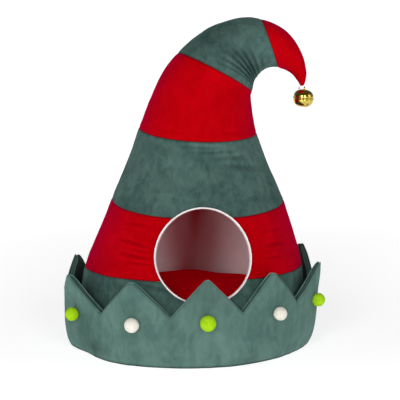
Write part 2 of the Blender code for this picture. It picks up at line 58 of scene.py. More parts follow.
# %% Camera
IMAGE_SIDE = 400
FOCAL_PIXELS = 1521
SENSOR_WIDTH = 36.0
CAMERA_DISTANCE = 3.0
CAMERA_HEIGHT = 0.8
CAMERA_AROUND = math.radians(-7.5)
CAMERA_TURN = math.radians(-0.366)
CAMERA_DIP = math.radians(9.78)


def aim(around, turn, dip):
    """The turn of a camera that looks level to +Y when nothing is given, as a rotation matrix."""
    heading = around + turn
    ahead = Vector((-math.sin(heading) * math.cos(dip), math.cos(heading) * math.cos(dip), -math.sin(dip)))
    right = Vector((math.cos(heading), math.sin(heading), 0))
    return Matrix((right, right.cross(ahead), -ahead)).transposed()


camera = bpy.data.objects.new("camera", bpy.data.cameras.new("camera"))
scene.collection.objects.link(camera)
scene.camera = camera
camera.data.sensor_width = SENSOR_WIDTH
camera.data.lens = FOCAL_PIXELS / IMAGE_SIDE * SENSOR_WIDTH
camera.location = (
    CAMERA_DISTANCE * math.sin(CAMERA_AROUND), -CAMERA_DISTANCE * math.cos(CAMERA_AROUND), CAMERA_HEIGHT
)
camera.rotation_euler = aim(CAMERA_AROUND, CAMERA_TURN, CAMERA_DIP).to_euler()
print("camera at", tuple(round(value, 3) for value in camera.location))

# %% [markdown]
# ## Shader helpers
# Several cloths share the same effects, so each effect is a node group with named inputs and outputs. A
# small helper makes the group's sockets, and another one adds a node and fills in its inputs.

# %% Helpers for node groups
def new_group(name, inputs, outputs):
    """A shader node group with named sockets, and its input and output nodes."""
    tree = bpy.data.node_groups.new(name, "ShaderNodeTree")
    for socket_name, kind, value in inputs:
        socket = tree.interface.new_socket(name=socket_name, in_out="INPUT", socket_type=kind)
        if value is not None:
            socket.default_value = value
    for socket_name, kind in outputs:
        tree.interface.new_socket(name=socket_name, in_out="OUTPUT", socket_type=kind)
    return tree, tree.nodes.new("NodeGroupInput").outputs, tree.nodes.new("NodeGroupOutput").inputs


def fill_inputs(tree, node, **inputs):
    """Links sockets to a node's inputs or gives them values. A name has _ for a space, or is _ and a number."""
    for name, value in inputs.items():
        socket = node.inputs[int(name[1:])] if name[0] == "_" else node.inputs[name.replace("_", " ")]
        if isinstance(value, bpy.types.NodeSocket):
            tree.links.new(value, socket)
        else:
            socket.default_value = value


def add_node(tree, kind, settings=None, **inputs):
    """A node in a tree, with settings as its own properties."""
    node = tree.nodes.new(kind)
    for name, value in (settings or {}).items():
        setattr(node, name, value)
    fill_inputs(tree, node, **inputs)
    return node


def math_node(tree, operation, first, second=0.0, clamp=False):
    node = add_node(tree, "ShaderNodeMath", {"operation": operation, "use_clamp": clamp}, _0=first, _1=second)
    return node.outputs[0]


def mix_colour(tree, factor, first, second):
    node = add_node(tree, "ShaderNodeMix", {"data_type": "RGBA"}, _0=factor, _6=first, _7=second)
    return node.outputs[2]


def spread(tree, value, low, high, first=0.0, last=1.0):
    """Stretches a value so that low becomes the first number and high the last."""
    node = add_node(
        tree, "ShaderNodeMapRange", None, Value=value, From_Min=low, From_Max=high, To_Min=first, To_Max=last
    )
    return node.outputs[0]


def stretch_node(tree, vector, factors):
    node = add_node(tree, "ShaderNodeVectorMath", {"operation": "MULTIPLY"}, _0=vector, _1=factors)
    return node.outputs[0]


def noise_node(tree, vector, scale, detail, roughness=0.5, distortion=0.0):
    node = add_node(
        tree, "ShaderNodeTexNoise", None, Vector=vector, Scale=scale, Detail=detail, Roughness=roughness,
        Distortion=distortion,
    )
    return node.outputs[0]


def thread_node(tree, vector, direction, scale, distortion, detail=2.0):
    """Parallel threads, one after another in a direction."""
    node = add_node(
        tree, "ShaderNodeTexWave", {"wave_type": "BANDS", "bands_direction": direction}, Vector=vector,
        Scale=scale, Distortion=distortion, Detail=detail,
    )
    return node.outputs["Fac"]


# %% [markdown]
# ## Velvet
# Velvet is a short upright pile. Where a hand has brushed it the other way it looks lighter or darker, in
# soft clouds and strokes, and close up the pile shows as a fine grain. The group gives all three from noise
# of three sizes, and the sheen of the shader adds the light edge that pile has where it is seen from aside.
# In a fold or a seam the pile is given painted shade, and on a ridge beside a fold a painted highlight. Each
# cloth carries that painted light and shade as a number at its points, named shade.

# %% Node group: brushed pile with painted shade
def make_pile_group():
    tree, given, out = new_group(
        "brushed pile with painted shade",
        [
            ("Vector", "NodeSocketVector", None),
            ("Dark", "NodeSocketColor", (0.05, 0.1, 0.09, 1)),
            ("Light", "NodeSocketColor", (0.1, 0.2, 0.18, 1)),
            ("Cloud Scale", "NodeSocketFloat", 16.0),
            ("Stroke Scale", "NodeSocketFloat", 70.0),
            ("Grain Scale", "NodeSocketFloat", 1100.0),
            ("Stretch", "NodeSocketVector", (1.0, 1.0, 0.35)),
            ("Shade", "NodeSocketFloat", 0.0),
        ],
        [("Colour", "NodeSocketColor"), ("Roughness", "NodeSocketFloat"), ("Height", "NodeSocketFloat")],
    )
    vector = given["Vector"]
    stretched = stretch_node(tree, vector, given["Stretch"])
    clouds = spread(tree, noise_node(tree, vector, given["Cloud Scale"], 6.0, 0.58, 0.5), 0.38, 0.62)
    strokes = spread(tree, noise_node(tree, stretched, given["Stroke Scale"], 4.0, 0.6, 0.8), 0.36, 0.64)
    grain = spread(tree, noise_node(tree, vector, given["Grain Scale"], 2.0), 0.32, 0.68)
    brushed = math_node(tree, "MULTIPLY", clouds, 0.42)
    brushed = math_node(tree, "ADD", brushed, math_node(tree, "MULTIPLY", strokes, 0.40))
    brushed = math_node(tree, "ADD", brushed, math_node(tree, "MULTIPLY", grain, 0.18))
    # Painted light and shade: the colour is scaled by one plus the shade that the cloth carries at its points.
    shaded = math_node(tree, "MAXIMUM", math_node(tree, "ADD", given["Shade"], 1.0), 0.2)
    colour = mix_colour(tree, brushed, given["Dark"], given["Light"])
    dimmed = add_node(tree, "ShaderNodeVectorMath", {"operation": "SCALE"}, _0=colour, Scale=shaded)
    tree.links.new(dimmed.outputs[0], out["Colour"])
    rough = math_node(tree, "SUBTRACT", 0.95, math_node(tree, "MULTIPLY", brushed, 0.2))
    tree.links.new(rough, out["Roughness"])
    height = math_node(tree, "ADD", math_node(tree, "MULTIPLY", strokes, 0.5), grain)
    tree.links.new(height, out["Height"])
    return tree


PILE = make_pile_group()
print("group:", PILE.name)

# %% Velvet materials
Velvet = namedtuple("Velvet", "name dark light gloss sheen sheen_tint cloud stroke stretch")
VELVETS = (
    Velvet(
        "red velvet", (0.35, 0.0002, 0.002), (0.48, 0.0004, 0.004),
        0.0, 0.20, (1.0, 0.02, 0.40), 9.0, 55.0, 0.7,
    ),
    # The cushion's velvet is the same red velvet made lighter: painted light for the light that reaches it in
    # the cave.
    Velvet(
        "cushion velvet with painted light", (0.64, 0.0002, 0.002), (0.92, 0.0004, 0.004),
        0.0, 0.10, (1.0, 0.0, 0.1), 9.0, 55.0, 0.7,
    ),
    Velvet(
        "green velvet", (0.026, 0.060, 0.052), (0.084, 0.148, 0.131),
        0.05, 0.12, (0.5, 0.9, 0.85), 16.0, 70.0, 0.6,
    ),
    # The collar's velvet is the green velvet made lighter: partly painted light on its outward face, partly its
    # nap.
    Velvet(
        "collar velvet", (0.058, 0.122, 0.105), (0.122, 0.214, 0.186),
        0.05, 0.14, (0.5, 0.9, 0.85), 13.0, 60.0, 0.4,
    ),
)


def new_material(name):
    """A material with a shader, and the object's own coordinates to read."""
    material = bpy.data.materials.new(name)
    material.use_nodes = True
    tree = material.node_tree
    place = tree.nodes.new("ShaderNodeTexCoord").outputs
    return material, tree, tree.nodes["Principled BSDF"], place


def bump(tree, shader, height, distance, strength=1.0):
    node = add_node(tree, "ShaderNodeBump", None, Strength=strength, Distance=distance, Height=height)
    tree.links.new(node.outputs[0], shader.inputs["Normal"])


def read_shade(tree):
    """The painted shade and light that a cloth carries at its points, or 0 where it has none."""
    return add_node(tree, "ShaderNodeAttribute", {"attribute_name": "shade"}).outputs["Fac"]


def make_velvet(velvet):
    material, tree, shader, place = new_material(velvet.name)
    pile = add_node(
        tree, "ShaderNodeGroup", {"node_tree": PILE}, Vector=place["Object"], Dark=(*velvet.dark, 1),
        Light=(*velvet.light, 1), Cloud_Scale=velvet.cloud, Stroke_Scale=velvet.stroke,
        Stretch=(1.0, 1.0, velvet.stretch), Shade=read_shade(tree),
    ).outputs
    fill_inputs(
        tree, shader, Base_Color=pile["Colour"], Roughness=pile["Roughness"], Specular_IOR_Level=velvet.gloss,
        Sheen_Weight=velvet.sheen, Sheen_Roughness=0.35, Sheen_Tint=(*velvet.sheen_tint, 1),
    )
    bump(tree, shader, pile["Height"], 0.0005, 0.6)
    return material


VELVET = {velvet.name: make_velvet(velvet) for velvet in VELVETS}
print("velvets:", ", ".join(VELVET))

# %% [markdown]
# ## The form of the hat
# The hat is a horn: round sections that shrink as they climb, lean and curl over. The table holds them in
# shares of the named sizes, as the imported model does, so that every cloth lies on its own solid. Only the
# first seam and the crown are about a millimetre off it, to fit the photograph. A smooth curve through each
# column gives any section between two rows.

# %% Sections of the hat
GAP = 0.0003
HAT_HEIGHT = 0.645
CONE_RADIUS = 0.2235
TIP_REACH = 0.2255
PAD_THICKNESS = 0.020
SEAT_HEIGHT = PAD_THICKNESS + GAP
WALL = 0.008
LINING = 0.002
LINING_INSET = WALL + GAP
CAVE_INSET = LINING_INSET + LINING

Section = namedtuple("Section", "name height reach radius depth tilt nod")
SECTIONS = (
    Section("foot", 0.000, 0.000, 0.964, 1.00, 0.0, 0.0),
    Section("low", 0.064, 0.009, 0.991, 1.00, 0.0, 0.0),
    Section("brim", 0.128, 0.018, 1.000, 1.00, 0.0, -1.0),
    Section("seam_1", 0.211, 0.027, 0.972, 1.00, 0.0, -3.0),
    Section("mouth", 0.321, 0.050, 0.872, 1.00, 0.0, 0.5),
    Section("seam_2", 0.424, 0.064, 0.766, 1.00, 0.0, 3.6),
    Section("middle", 0.531, 0.063, 0.640, 1.00, 0.5, 4.2),
    Section("seam_3", 0.646, 0.067, 0.520, 1.00, 2.0, 4.6),
    Section("crown", 0.776, 0.126, 0.418, 1.00, 10.0, 2.0),
    Section("seam_4", 0.828, 0.217, 0.369, 1.00, 28.7, -5.0),
    Section("bend_1", 0.878, 0.359, 0.320, 1.00, 52.7, -2.0),
    Section("bend_2", 0.901, 0.450, 0.281, 1.00, 61.8, 0.0),
    Section("bend_3", 0.920, 0.577, 0.242, 0.96, 68.0, 3.0),
    Section("seam_5", 0.919, 0.700, 0.222, 0.88, 70.7, 5.0),
    Section("curl_1", 0.895, 0.845, 0.161, 0.83, 96.0, 3.0),
    Section("curl_2", 0.854, 0.947, 0.102, 0.77, 112.0, 0.0),
    Section("curl_3", 0.811, 0.996, 0.055, 0.85, 133.0, 0.0),
    Section("tip", 0.783, 1.000, 0.017, 1.10, 165.0, 0.0),
)
ROW = {section.name: index for index, section in enumerate(SECTIONS)}
RISE = HAT_HEIGHT - SEAT_HEIGHT
ROWS = [
    (s.reach * TIP_REACH, SEAT_HEIGHT + s.height * RISE, s.radius * CONE_RADIUS, s.depth, s.tilt, s.nod)
    for s in SECTIONS
]
KNOTS = [0.0]
for before, after in zip(ROWS, ROWS[1:]):
    KNOTS.append(KNOTS[-1] + math.dist(before[:2], after[:2]))
print("length along the middle of the hat:", round(KNOTS[-1], 3), "m")

# %% Any section, and any point of the skin
Frame = namedtuple("Frame", "centre radius depth across deep normal")


def smooth_between(first, last, slope_in, slope_out, span, t):
    """A value at a share t of the way between two others, with the slopes given at both."""
    ease = t * t * (3 - 2 * t)
    bend = slope_in * t * (1 - t) ** 2 - slope_out * t * t * (1 - t)
    return first * (1 - ease) + last * ease + span * bend


def hump(off):
    """1 in the middle and falling smoothly to 0 on both sides."""
    return math.exp(-off * off)


def slope(index, column):
    before, after = max(index - 1, 0), min(index + 1, len(ROWS) - 1)
    return (ROWS[after][column] - ROWS[before][column]) / (KNOTS[after] - KNOTS[before])


@functools.lru_cache(maxsize=None)
def frame_at(row):
    """Middle, radius, depth and directions of the section at a row, which may be a fraction."""
    index = min(int(row), len(ROWS) - 2)
    t = row - index
    span = KNOTS[index + 1] - KNOTS[index]
    x, z, radius, depth, tilt, nod = (
        smooth_between(first, last, slope(index, column), slope(index + 1, column), span, t)
        for column, (first, last) in enumerate(zip(ROWS[index], ROWS[index + 1]))
    )
    tilt, nod = math.radians(tilt), math.radians(nod)
    across = Vector((math.cos(tilt), 0, -math.sin(tilt)))
    up = Vector((math.sin(tilt), 0, math.cos(tilt)))
    back = Vector((0, 1, 0))
    deep = back * math.cos(nod) + up * math.sin(nod)
    normal = up * math.cos(nod) - back * math.sin(nod)
    return Frame(Vector((x, 0, z)), radius, depth, across, deep, normal)


def skin_point(row, angle, inset=0.0, shift=0.0):
    """A point of the hat's skin. Angle 0 is the front and 90 is the right."""
    section = frame_at(row)
    turn = math.radians(angle)
    across = (section.radius - inset) * math.sin(turn)
    deep = (section.radius * section.depth - inset) * math.cos(turn)
    return section.centre + section.across * across - section.deep * deep + section.normal * shift


def length_at(row):
    """Distance along the middle of the hat, from the foot to a row."""
    index = min(int(row), len(KNOTS) - 2)
    return KNOTS[index] + (KNOTS[index + 1] - KNOTS[index]) * (row - index)


def row_at(length):
    for index in range(len(KNOTS) - 1):
        if length <= KNOTS[index + 1]:
            return index + (length - KNOTS[index]) / (KNOTS[index + 1] - KNOTS[index])
    return float(len(KNOTS) - 1)


print("the tip's end is at", tuple(round(v, 4) for v in frame_at(len(ROWS) - 1).centre))

# %% [markdown]
# ## Cloth as a grid
# Most cloths here are one grid: columns run round the piece and lines run along it. The grid is made flat and
# then each of its points is moved to its place by a function. Where the first and last columns or lines meet
# they are merged, so the piece is closed. Closed pieces can be cut out of each other or joined.

# %% Helper: a cloth from a flat grid
def turn_apart(first, second):
    """The turn from one angle to another in degrees, from -180 to 180."""
    return (first - second + 180) % 360 - 180


def smooth(piece, sharp=60.0):
    """Shades a piece smooth, but for its edges that are sharper than an angle."""
    piece.data.shade_smooth()
    piece.data.set_sharp_from_angle(angle=math.radians(sharp))


def finish_piece(name, bm, material, sharp=60.0):
    """An object from a bmesh: doubles merged, faces outward and round parts smooth."""
    bmesh.ops.remove_doubles(bm, verts=bm.verts, dist=1e-6)
    bmesh.ops.recalc_face_normals(bm, faces=bm.faces)
    mesh = bpy.data.meshes.new(name)
    bm.to_mesh(mesh)
    bm.free()
    piece = bpy.data.objects.new(name, mesh)
    scene.collection.objects.link(piece)
    smooth(piece, sharp)
    mesh.materials.append(material)
    return piece


def apply_boolean(piece, other, operation, solver="EXACT"):
    """Cuts another closed piece out of a piece, or joins it to it. The other one is used up."""
    modifier = piece.modifiers.new(operation.lower(), "BOOLEAN")
    modifier.operation = operation
    modifier.solver = solver
    modifier.object = other
    with bpy.context.temp_override(object=piece, active_object=piece, selected_objects=[piece]):
        bpy.ops.object.modifier_apply(modifier=modifier.name)
    bpy.data.objects.remove(other)


def grid_of_cloth(columns, lines, place):
    """A bmesh grid whose points are at place(share of the way round, line), which may give painted shade too.
    """
    bm = bmesh.new()
    bm.loops.layers.uv.new("UVMap")
    shade = bm.verts.layers.float.new("shade")
    bmesh.ops.create_grid(bm, x_segments=columns, y_segments=len(lines) - 1, size=0.5, calc_uvs=True)
    for vert in bm.verts:
        share = round((vert.co.x + 0.5) * columns) / columns
        line = lines[round((vert.co.y + 0.5) * (len(lines) - 1))]
        placed = place(share, line)
        vert.co, vert[shade] = placed if isinstance(placed, tuple) else (placed, 0.0)
    return bm


def count(piece):
    """A piece's name and how many faces it has, for printing."""
    return f"{piece.name} {len(piece.data.polygons)}"


# %% [markdown]
# ## Where the way in is
# The hole's axis stands square on the sloping front. Its place is needed before the bands are made, because
# the padding is drawn down where the binding grips it.

# %% Where the hole is
OPENING_HEIGHT = 0.211
OPENING_TURN = -3.25
OPENING_RADIUS = 0.0906
BINDING_WIDTH = 0.0024
HOLE_RADIUS = OPENING_RADIUS + BINDING_WIDTH + GAP
SQUEEZE = 0.35
SQUEEZE_REACH = 0.022
EDGE_DEPTH = LINING_INSET * SQUEEZE + LINING
Mouth = namedtuple("Mouth", "centre across up out")


def row_at_height(height):
    low, high = 0.0, float(ROW["seam_3"])
    for _ in range(40):
        middle = (low + high) / 2
        if frame_at(middle).centre.z < height:
            low = middle
        else:
            high = middle
    return low


def mouth_frame():
    """The middle of the way in on the hat's skin, with the directions across it, up it and out of it."""
    row = row_at_height(OPENING_HEIGHT)
    for _ in range(20):
        row += (OPENING_HEIGHT - skin_point(row, OPENING_TURN).z) / (KNOTS[-1] / len(KNOTS)) / 2
    up = (skin_point(row + 0.4, OPENING_TURN) - skin_point(row - 0.4, OPENING_TURN)).normalized()
    side = skin_point(row, OPENING_TURN + 4) - skin_point(row, OPENING_TURN - 4)
    out = side.cross(up).normalized()
    return Mouth(skin_point(row, OPENING_TURN), up.cross(out), up, out)


def outside_skin(point):
    """How far a point is outside the cone's skin, measured across the cone."""
    row = row_at_height(point.z)
    for _ in range(6):
        section = frame_at(row)
        off = (point - section.centre).dot(section.normal)
        row = min(max(row + off / (KNOTS[int(row) + 1] - KNOTS[int(row)]), 0.0), ROW["seam_3"] + 0.9)
    section = frame_at(row)
    across = (point - section.centre).dot(section.across)
    deep = (point - section.centre).dot(section.deep) / section.depth
    return math.hypot(across, deep) - section.radius


def onto_skin(point, out):
    low, high = -CONE_RADIUS / 2, CONE_RADIUS / 2
    for _ in range(26):
        middle = (low + high) / 2
        if outside_skin(point + out * middle) < 0:
            low = middle
        else:
            high = middle
    return point + out * low


def squeeze(point):
    """The share of the wall's thickness that is left near the way in, where the binding squeezes it."""
    off = point - MOUTH.centre
    if off.dot(MOUTH.out) < -OPENING_RADIUS:
        return 1.0
    away = max(0.0, math.hypot(off.dot(MOUTH.across), off.dot(MOUTH.up)) - HOLE_RADIUS)
    return 1 - (1 - SQUEEZE) * hump(away / SQUEEZE_REACH)


MOUTH = mouth_frame()
print("middle of the way in:", tuple(round(v, 4) for v in MOUTH.centre))

# %% [markdown]
# ## Folds, dips and puckers
# Padding makes each band swell between its seams, and the thread pulls small puckers along every seam. Where
# the wall was squeezed or pulled it keeps soft creases, and the bend is gathered at its inner side. These move
# the cloth by a millimetre or two, and by up to six in the gathers. Each is a function of where a point lies.

# %% Relief of the bands
SKIN_LIFT = 0.0005
SEAM_DIP = 0.0012
SEAM_ROUND = 0.0045
PUCKER_DEPTH = 0.0006
PUCKER_REACH = 0.016
PUCKERS_PER_METRE = 105
SWELL = 0.0012
SWELLS_PER_METRE = 13
SMALL_SWELL = 0.00035
SMALL_SWELLS_PER_METRE = 55
GRIP_DEPTH = 0.0014
GRIP_REACH = 0.008
PLEAT_DEPTH = 0.0009
PINCH_DEPTH = 0.0009
PINCH_REACH = 0.016
PINCH_PLEATS = 7
RIDGE = 0.45
GATHER_RIDGE = 0.12
# Painted light and shade of the bands: the fold depth for a whole share of painted shade, the darkness and
# width of the painted shade along seams, and the painted shade of the dip round the way in.
FOLD_SHADE = 0.0095
GATHER_SHADE = 0.0080
SEAM_SHADE = 0.5
SEAM_LINE = 0.0016
GRIP_SHADE = 0.15
SEAM_ROWS = [ROW[name] for name in ("seam_1", "seam_2", "seam_3", "seam_4", "seam_5")]
SEAM_LENGTHS = [KNOTS[row] for row in SEAM_ROWS]

# Folds in the skin: where each starts and ends as a row and an angle, its width at both ends and its depth
Fold = namedtuple("Fold", "row angle row_end angle_end width width_end depth")
CREASES = (
    Fold(4.18, -60.0, 4.03, -33.0, 0.0044, 0.0026, 0.0026),
    Fold(3.77, -56.0, 3.68, -31.0, 0.0044, 0.0026, 0.0026),
    Fold(3.52, -46.0, 3.49, -29.0, 0.0036, 0.0024, 0.0020),
    Fold(4.68, -60.0, 4.70, -36.0, 0.0042, 0.0028, 0.0014),
    Fold(3.95, -48.0, 3.86, -33.0, 0.0032, 0.0024, 0.0016),
    Fold(4.44, 33.0, 4.40, 56.0, 0.0028, 0.0044, 0.0012),
    Fold(4.01, 31.0, 3.93, 57.0, 0.0028, 0.0044, 0.0015),
    Fold(3.63, 29.0, 3.53, 52.0, 0.0028, 0.0042, 0.0014),
    Fold(6.87, -28.0, 6.85, 22.0, 0.0030, 0.0030, 0.0024),
    Fold(6.76, -20.0, 6.75, 34.0, 0.0032, 0.0032, 0.0022),
    Fold(6.62, 4.0, 6.55, 44.0, 0.0035, 0.0045, 0.0018),
    Fold(6.44, 12.0, 6.12, 62.0, 0.0045, 0.0060, 0.0020),
    Fold(6.86, -64.0, 6.78, -34.0, 0.0040, 0.0035, 0.0010),
    Fold(5.40, 38.0, 5.24, 74.0, 0.0060, 0.0070, 0.0010),
    Fold(2.90, -38.0, 2.62, -17.0, 0.0040, 0.0030, 0.0022),
    Fold(2.62, 26.0, 2.80, 38.0, 0.0040, 0.0030, 0.0018),
    Fold(7.20, -66.0, 7.14, -20.0, 0.0040, 0.0040, 0.0008),
    Fold(7.25, 10.0, 7.12, 50.0, 0.0040, 0.0040, 0.0008),
    Fold(4.30, 118.0, 4.22, 150.0, 0.0060, 0.0060, 0.0016),
    Fold(5.60, -150.0, 5.52, -118.0, 0.0060, 0.0060, 0.0014),
)
# Gathers at the bend, drawn together at its inner side and fanning out over the front
GATHERS = (
    Fold(11.60, 84.0, 11.95, 8.0, 0.0026, 0.0056, 0.0026),
    Fold(11.22, 85.0, 11.34, -6.0, 0.0024, 0.0052, 0.0040),
    Fold(10.92, 86.0, 10.74, -16.0, 0.0022, 0.0048, 0.0056),
    Fold(10.66, 86.0, 10.24, -20.0, 0.0021, 0.0044, 0.0058),
    Fold(10.40, 86.0, 9.84, -24.0, 0.0020, 0.0040, 0.0052),
    Fold(10.14, 84.0, 9.50, -26.0, 0.0020, 0.0036, 0.0040),
    Fold(9.90, 82.0, 9.24, -24.0, 0.0019, 0.0030, 0.0024),
)
# Patches of painted light and shade on the bands, lighter where light falls and darker behind the collar:
# angle and row, spread of both and how much lighter
PAINTED_LIGHT_PATCHES = (
    (0.0, 12.3, 50.0, 0.8, 0.24), (-45.0, 9.7, 40.0, 0.8, -0.12), (66.0, 6.3, 22.0, 0.6, 0.16),
    (0.0, 0.9, 30.0, 1.2, -0.22), (-64.0, 4.0, 20.0, 0.9, 0.10),
)
INNER_SIDE = 90.0


def patches(table, angle, level):
    """What all the patches of a table add up to at an angle and a level."""
    return sum(
        strength * math.exp(-((turn_apart(angle, middle) / around) ** 2) - ((level - height) / along) ** 2)
        for middle, height, around, along, strength in table
    )


def fold_relief(fold, row, angle, ridge=RIDGE):
    """How far one fold pushes the skin in, with a soft ridge on each side of it."""
    if abs(turn_apart(angle, (fold.angle + fold.angle_end) / 2)) > 70:
        return 0.0
    radius = frame_at((fold.row + fold.row_end) / 2).radius
    start = Vector((0.0, length_at(fold.row)))
    end = Vector((math.radians(fold.angle_end - fold.angle) * radius, length_at(fold.row_end)))
    here = Vector((math.radians(turn_apart(angle, fold.angle)) * radius, length_at(row)))
    along = end - start
    share = (here - start).dot(along) / along.length_squared
    if not 0 < share < 1:
        return 0.0
    width = fold.width + (fold.width_end - fold.width) * share
    off = (here - start).cross(along) / along.length / width
    fade = 4 * share * (1 - share)
    beside = math.exp(-((abs(off) - 1.9) ** 2) / 1.5)
    return fold.depth * fade * (ridge * beside - hump(off))


def seam_relief(row, angle):
    """The rounding of a band into its seams, and the puckers beside them."""
    here = length_at(row)
    away = min(abs(here - seam) for seam in SEAM_LENGTHS)
    relief = 0.0
    if away < SEAM_ROUND:
        relief -= SEAM_DIP * (1 - away / SEAM_ROUND) ** 2
    radius = frame_at(row).radius
    around = Vector((math.sin(math.radians(angle)), math.cos(math.radians(angle)))) * radius
    pucker = noise.noise(Vector((*(around * PUCKERS_PER_METRE), here * 14)))
    return relief + PUCKER_DEPTH * pucker * math.exp(-away / PUCKER_REACH)


def swell_relief(point):
    """The slow swelling of the padding under the cloth."""
    large = SWELL * noise.fractal(point * SWELLS_PER_METRE, 1.0, 2.0, 3)
    return large + SMALL_SWELL * noise.noise(point * SMALL_SWELLS_PER_METRE)


def grip_relief(point):
    """How the binding draws the padding down round the way in, with small pleats."""
    off = point - MOUTH.centre
    if off.dot(MOUTH.out) < -OPENING_RADIUS:
        return 0.0
    across, up = off.dot(MOUTH.across), off.dot(MOUTH.up)
    away = max(0.0, math.hypot(across, up) - HOLE_RADIUS) / GRIP_REACH
    if away > 4:
        return 0.0
    turn = math.atan2(up, across)
    pleat = noise.noise(Vector((math.cos(turn) * 9, math.sin(turn) * 9, 4.0)))
    return -GRIP_DEPTH * hump(away) + PLEAT_DEPTH * pleat * math.exp(-away)


def gather_relief(row, angle):
    """The folds that the bend is drawn into. They fade at its inner edge, and the back has them too."""
    if not SEAM_ROWS[3] < row < SEAM_ROWS[4]:
        return 0.0
    edge = min(row - SEAM_ROWS[3], SEAM_ROWS[4] - row)
    away = abs(turn_apart(angle, INNER_SIDE))
    total = sum(fold_relief(fold, row, INNER_SIDE - away, GATHER_RIDGE) for fold in GATHERS)
    return total * min(1.0, edge / 0.3) * min(1.0, away / 14)


def pinch_relief(row, angle):
    """The pleats that the thread draws into the end of the tip."""
    left = KNOTS[-1] - length_at(row)
    if left > 4 * PINCH_REACH:
        return 0.0
    pleat = 0.5 + 0.5 * math.cos(math.radians(PINCH_PLEATS * angle))
    return -PINCH_DEPTH * pleat * math.exp(-left / PINCH_REACH)


@functools.lru_cache(maxsize=None)
def fold_depth(row, angle):
    """All the folds and gathers at a point of the skin together."""
    creases = sum(fold_relief(fold, row, angle) for fold in CREASES if abs(row - fold.row) < 0.9)
    return creases + gather_relief(row, angle)


def relief(row, angle):
    point = skin_point(row, angle)
    total = SKIN_LIFT + seam_relief(row, angle) + swell_relief(point) + grip_relief(point)
    return total + fold_depth(row, angle) + pinch_relief(row, angle)


def shade_at(row, angle):
    """Painted shade in folds, seams, round the way in and behind the collar, and painted light on ridges."""
    gathered = SEAM_ROWS[3] < row < SEAM_ROWS[4]
    total = fold_depth(row, angle) / (GATHER_SHADE if gathered else FOLD_SHADE)
    seam = min(abs(length_at(row) - length) for length in SEAM_LENGTHS)
    total -= SEAM_SHADE * hump(seam / SEAM_LINE)
    point = skin_point(row, angle)
    total += GRIP_SHADE * grip_relief(point) / GRIP_DEPTH
    # Painted shade on the band behind the collar, in streaks.
    if row < SEAM_ROWS[0]:
        streak = noise.noise(Vector((point.x * 40, point.y * 40, point.z * 9)))
        total -= 0.04 + 0.5 * max(0.0, streak + 0.1) * hump(angle / 45)
    return max(-0.75, min(0.4, total + patches(PAINTED_LIGHT_PATCHES, angle, row)))


# %% [markdown]
# ## The velvet bands
# Six rings of velvet make the hat: three round the cave, padded walls with the way in cut through them, and
# three stuffed ones above. Each is closed, with its cut edges tucked down into the seams. Lines lie closer
# together near a seam, where the cloth turns sharply.

# %% Build the bands
Band = namedtuple("Band", "name start end columns step hollow material")
BANDS = (
    Band("band_1_green", "foot", "seam_1", 480, 0.0028, True, "green velvet"),
    Band("band_2_red", "seam_1", "seam_2", 480, 0.0024, True, "red velvet"),
    Band("band_3_green", "seam_2", "seam_3", 440, 0.0022, True, "green velvet"),
    Band("band_4_red", "seam_3", "seam_4", 320, 0.0028, False, "red velvet"),
    Band("band_5_green", "seam_4", "seam_5", 320, 0.0013, False, "green velvet"),
    Band("band_6_red", "seam_5", "tip", 200, 0.0024, False, "red velvet"),
)
NEAR_SEAM = (0.0, 0.0005, 0.0011, 0.0019, 0.0030, 0.0045, 0.0065, 0.0090)


def band_lines(start, end, step):
    """Lengths of the lines between two seams, closer together beside them."""
    first, last = KNOTS[start] + GAP / 2, KNOTS[end] - GAP / 2
    low, high = first + NEAR_SEAM[-1], last - NEAR_SEAM[-1]
    steps = max(2, round((high - low) / step))
    middle = [low + (high - low) * number / steps for number in range(1, steps)]
    return [first + near for near in NEAR_SEAM] + middle + [last - near for near in reversed(NEAR_SEAM)]


def build_band(band):
    start, end = ROW[band.start], ROW[band.end]
    outer = [(row_at(length), 0.0, True) for length in band_lines(start, end, band.step)]
    first, last = outer[0][0], outer[-1][0]
    if band.hollow:
        inner = [(last + (first - last) * step / 8, WALL, False) for step in range(9)]
        lines = outer + inner + outer[:1]
    else:
        lines = [(first, 1.0, False), *outer, (last, 1.0, False)]

    def place(share, line):
        row, inset, dressed = line
        angle = 360 * share - 180
        if inset == 1.0:
            return frame_at(row).centre
        if not dressed:
            return skin_point(row, angle, inset * squeeze(skin_point(row, angle)))
        return skin_point(row, angle, -relief(row, angle)), shade_at(row, angle)

    cloth = grid_of_cloth(band.columns, lines, place)
    return finish_piece(f"{band.name}_cloth", cloth, VELVET[band.material])


bands = {band.name: build_band(band) for band in BANDS}
for piece in bands.values():
    print(count(piece))

# %% [markdown]
# ## The lining
# Inside, a pale short-pile cloth lines the cave up to a flat ceiling. It is one thin cloth with its own
# thickness, and lies just inside the padded walls. It is seen through the way in, where the light comes from
# too. Its middle is painted dark red: painted shade, with the red light that the cushion throws back.

# %% Build the lining
LINING_COLUMNS = 360
CEILING_RINGS = (0.75, 0.5, 0.25, 0.0)
# The painted shade on its back, reddened by the cushion's light: the angle of its middle, its reach in degrees
# low down and how it spreads higher up
RED_SHADE_MIDDLE = 174
RED_SHADE_REACH = 12
RED_SHADE_SPREAD = 70
RED_SHADE_LOW = 0.11


def lining_lines():
    """Rows, insets and drops of the cloth's lines: up the outside, over the ceiling and down the inside."""
    top = ROW["seam_3"]
    rows = [top * step / 70 for step in range(71)]
    outside = [(row, LINING_INSET, 1.0, GAP) for row in rows]
    over = [(top, LINING_INSET, share, GAP) for share in CEILING_RINGS]
    under = [(top, CAVE_INSET, share, GAP + LINING) for share in reversed(CEILING_RINGS)]
    inside = [(row, CAVE_INSET, 1.0, GAP + LINING) for row in reversed(rows)]
    return outside + over + under + inside + outside[:1]


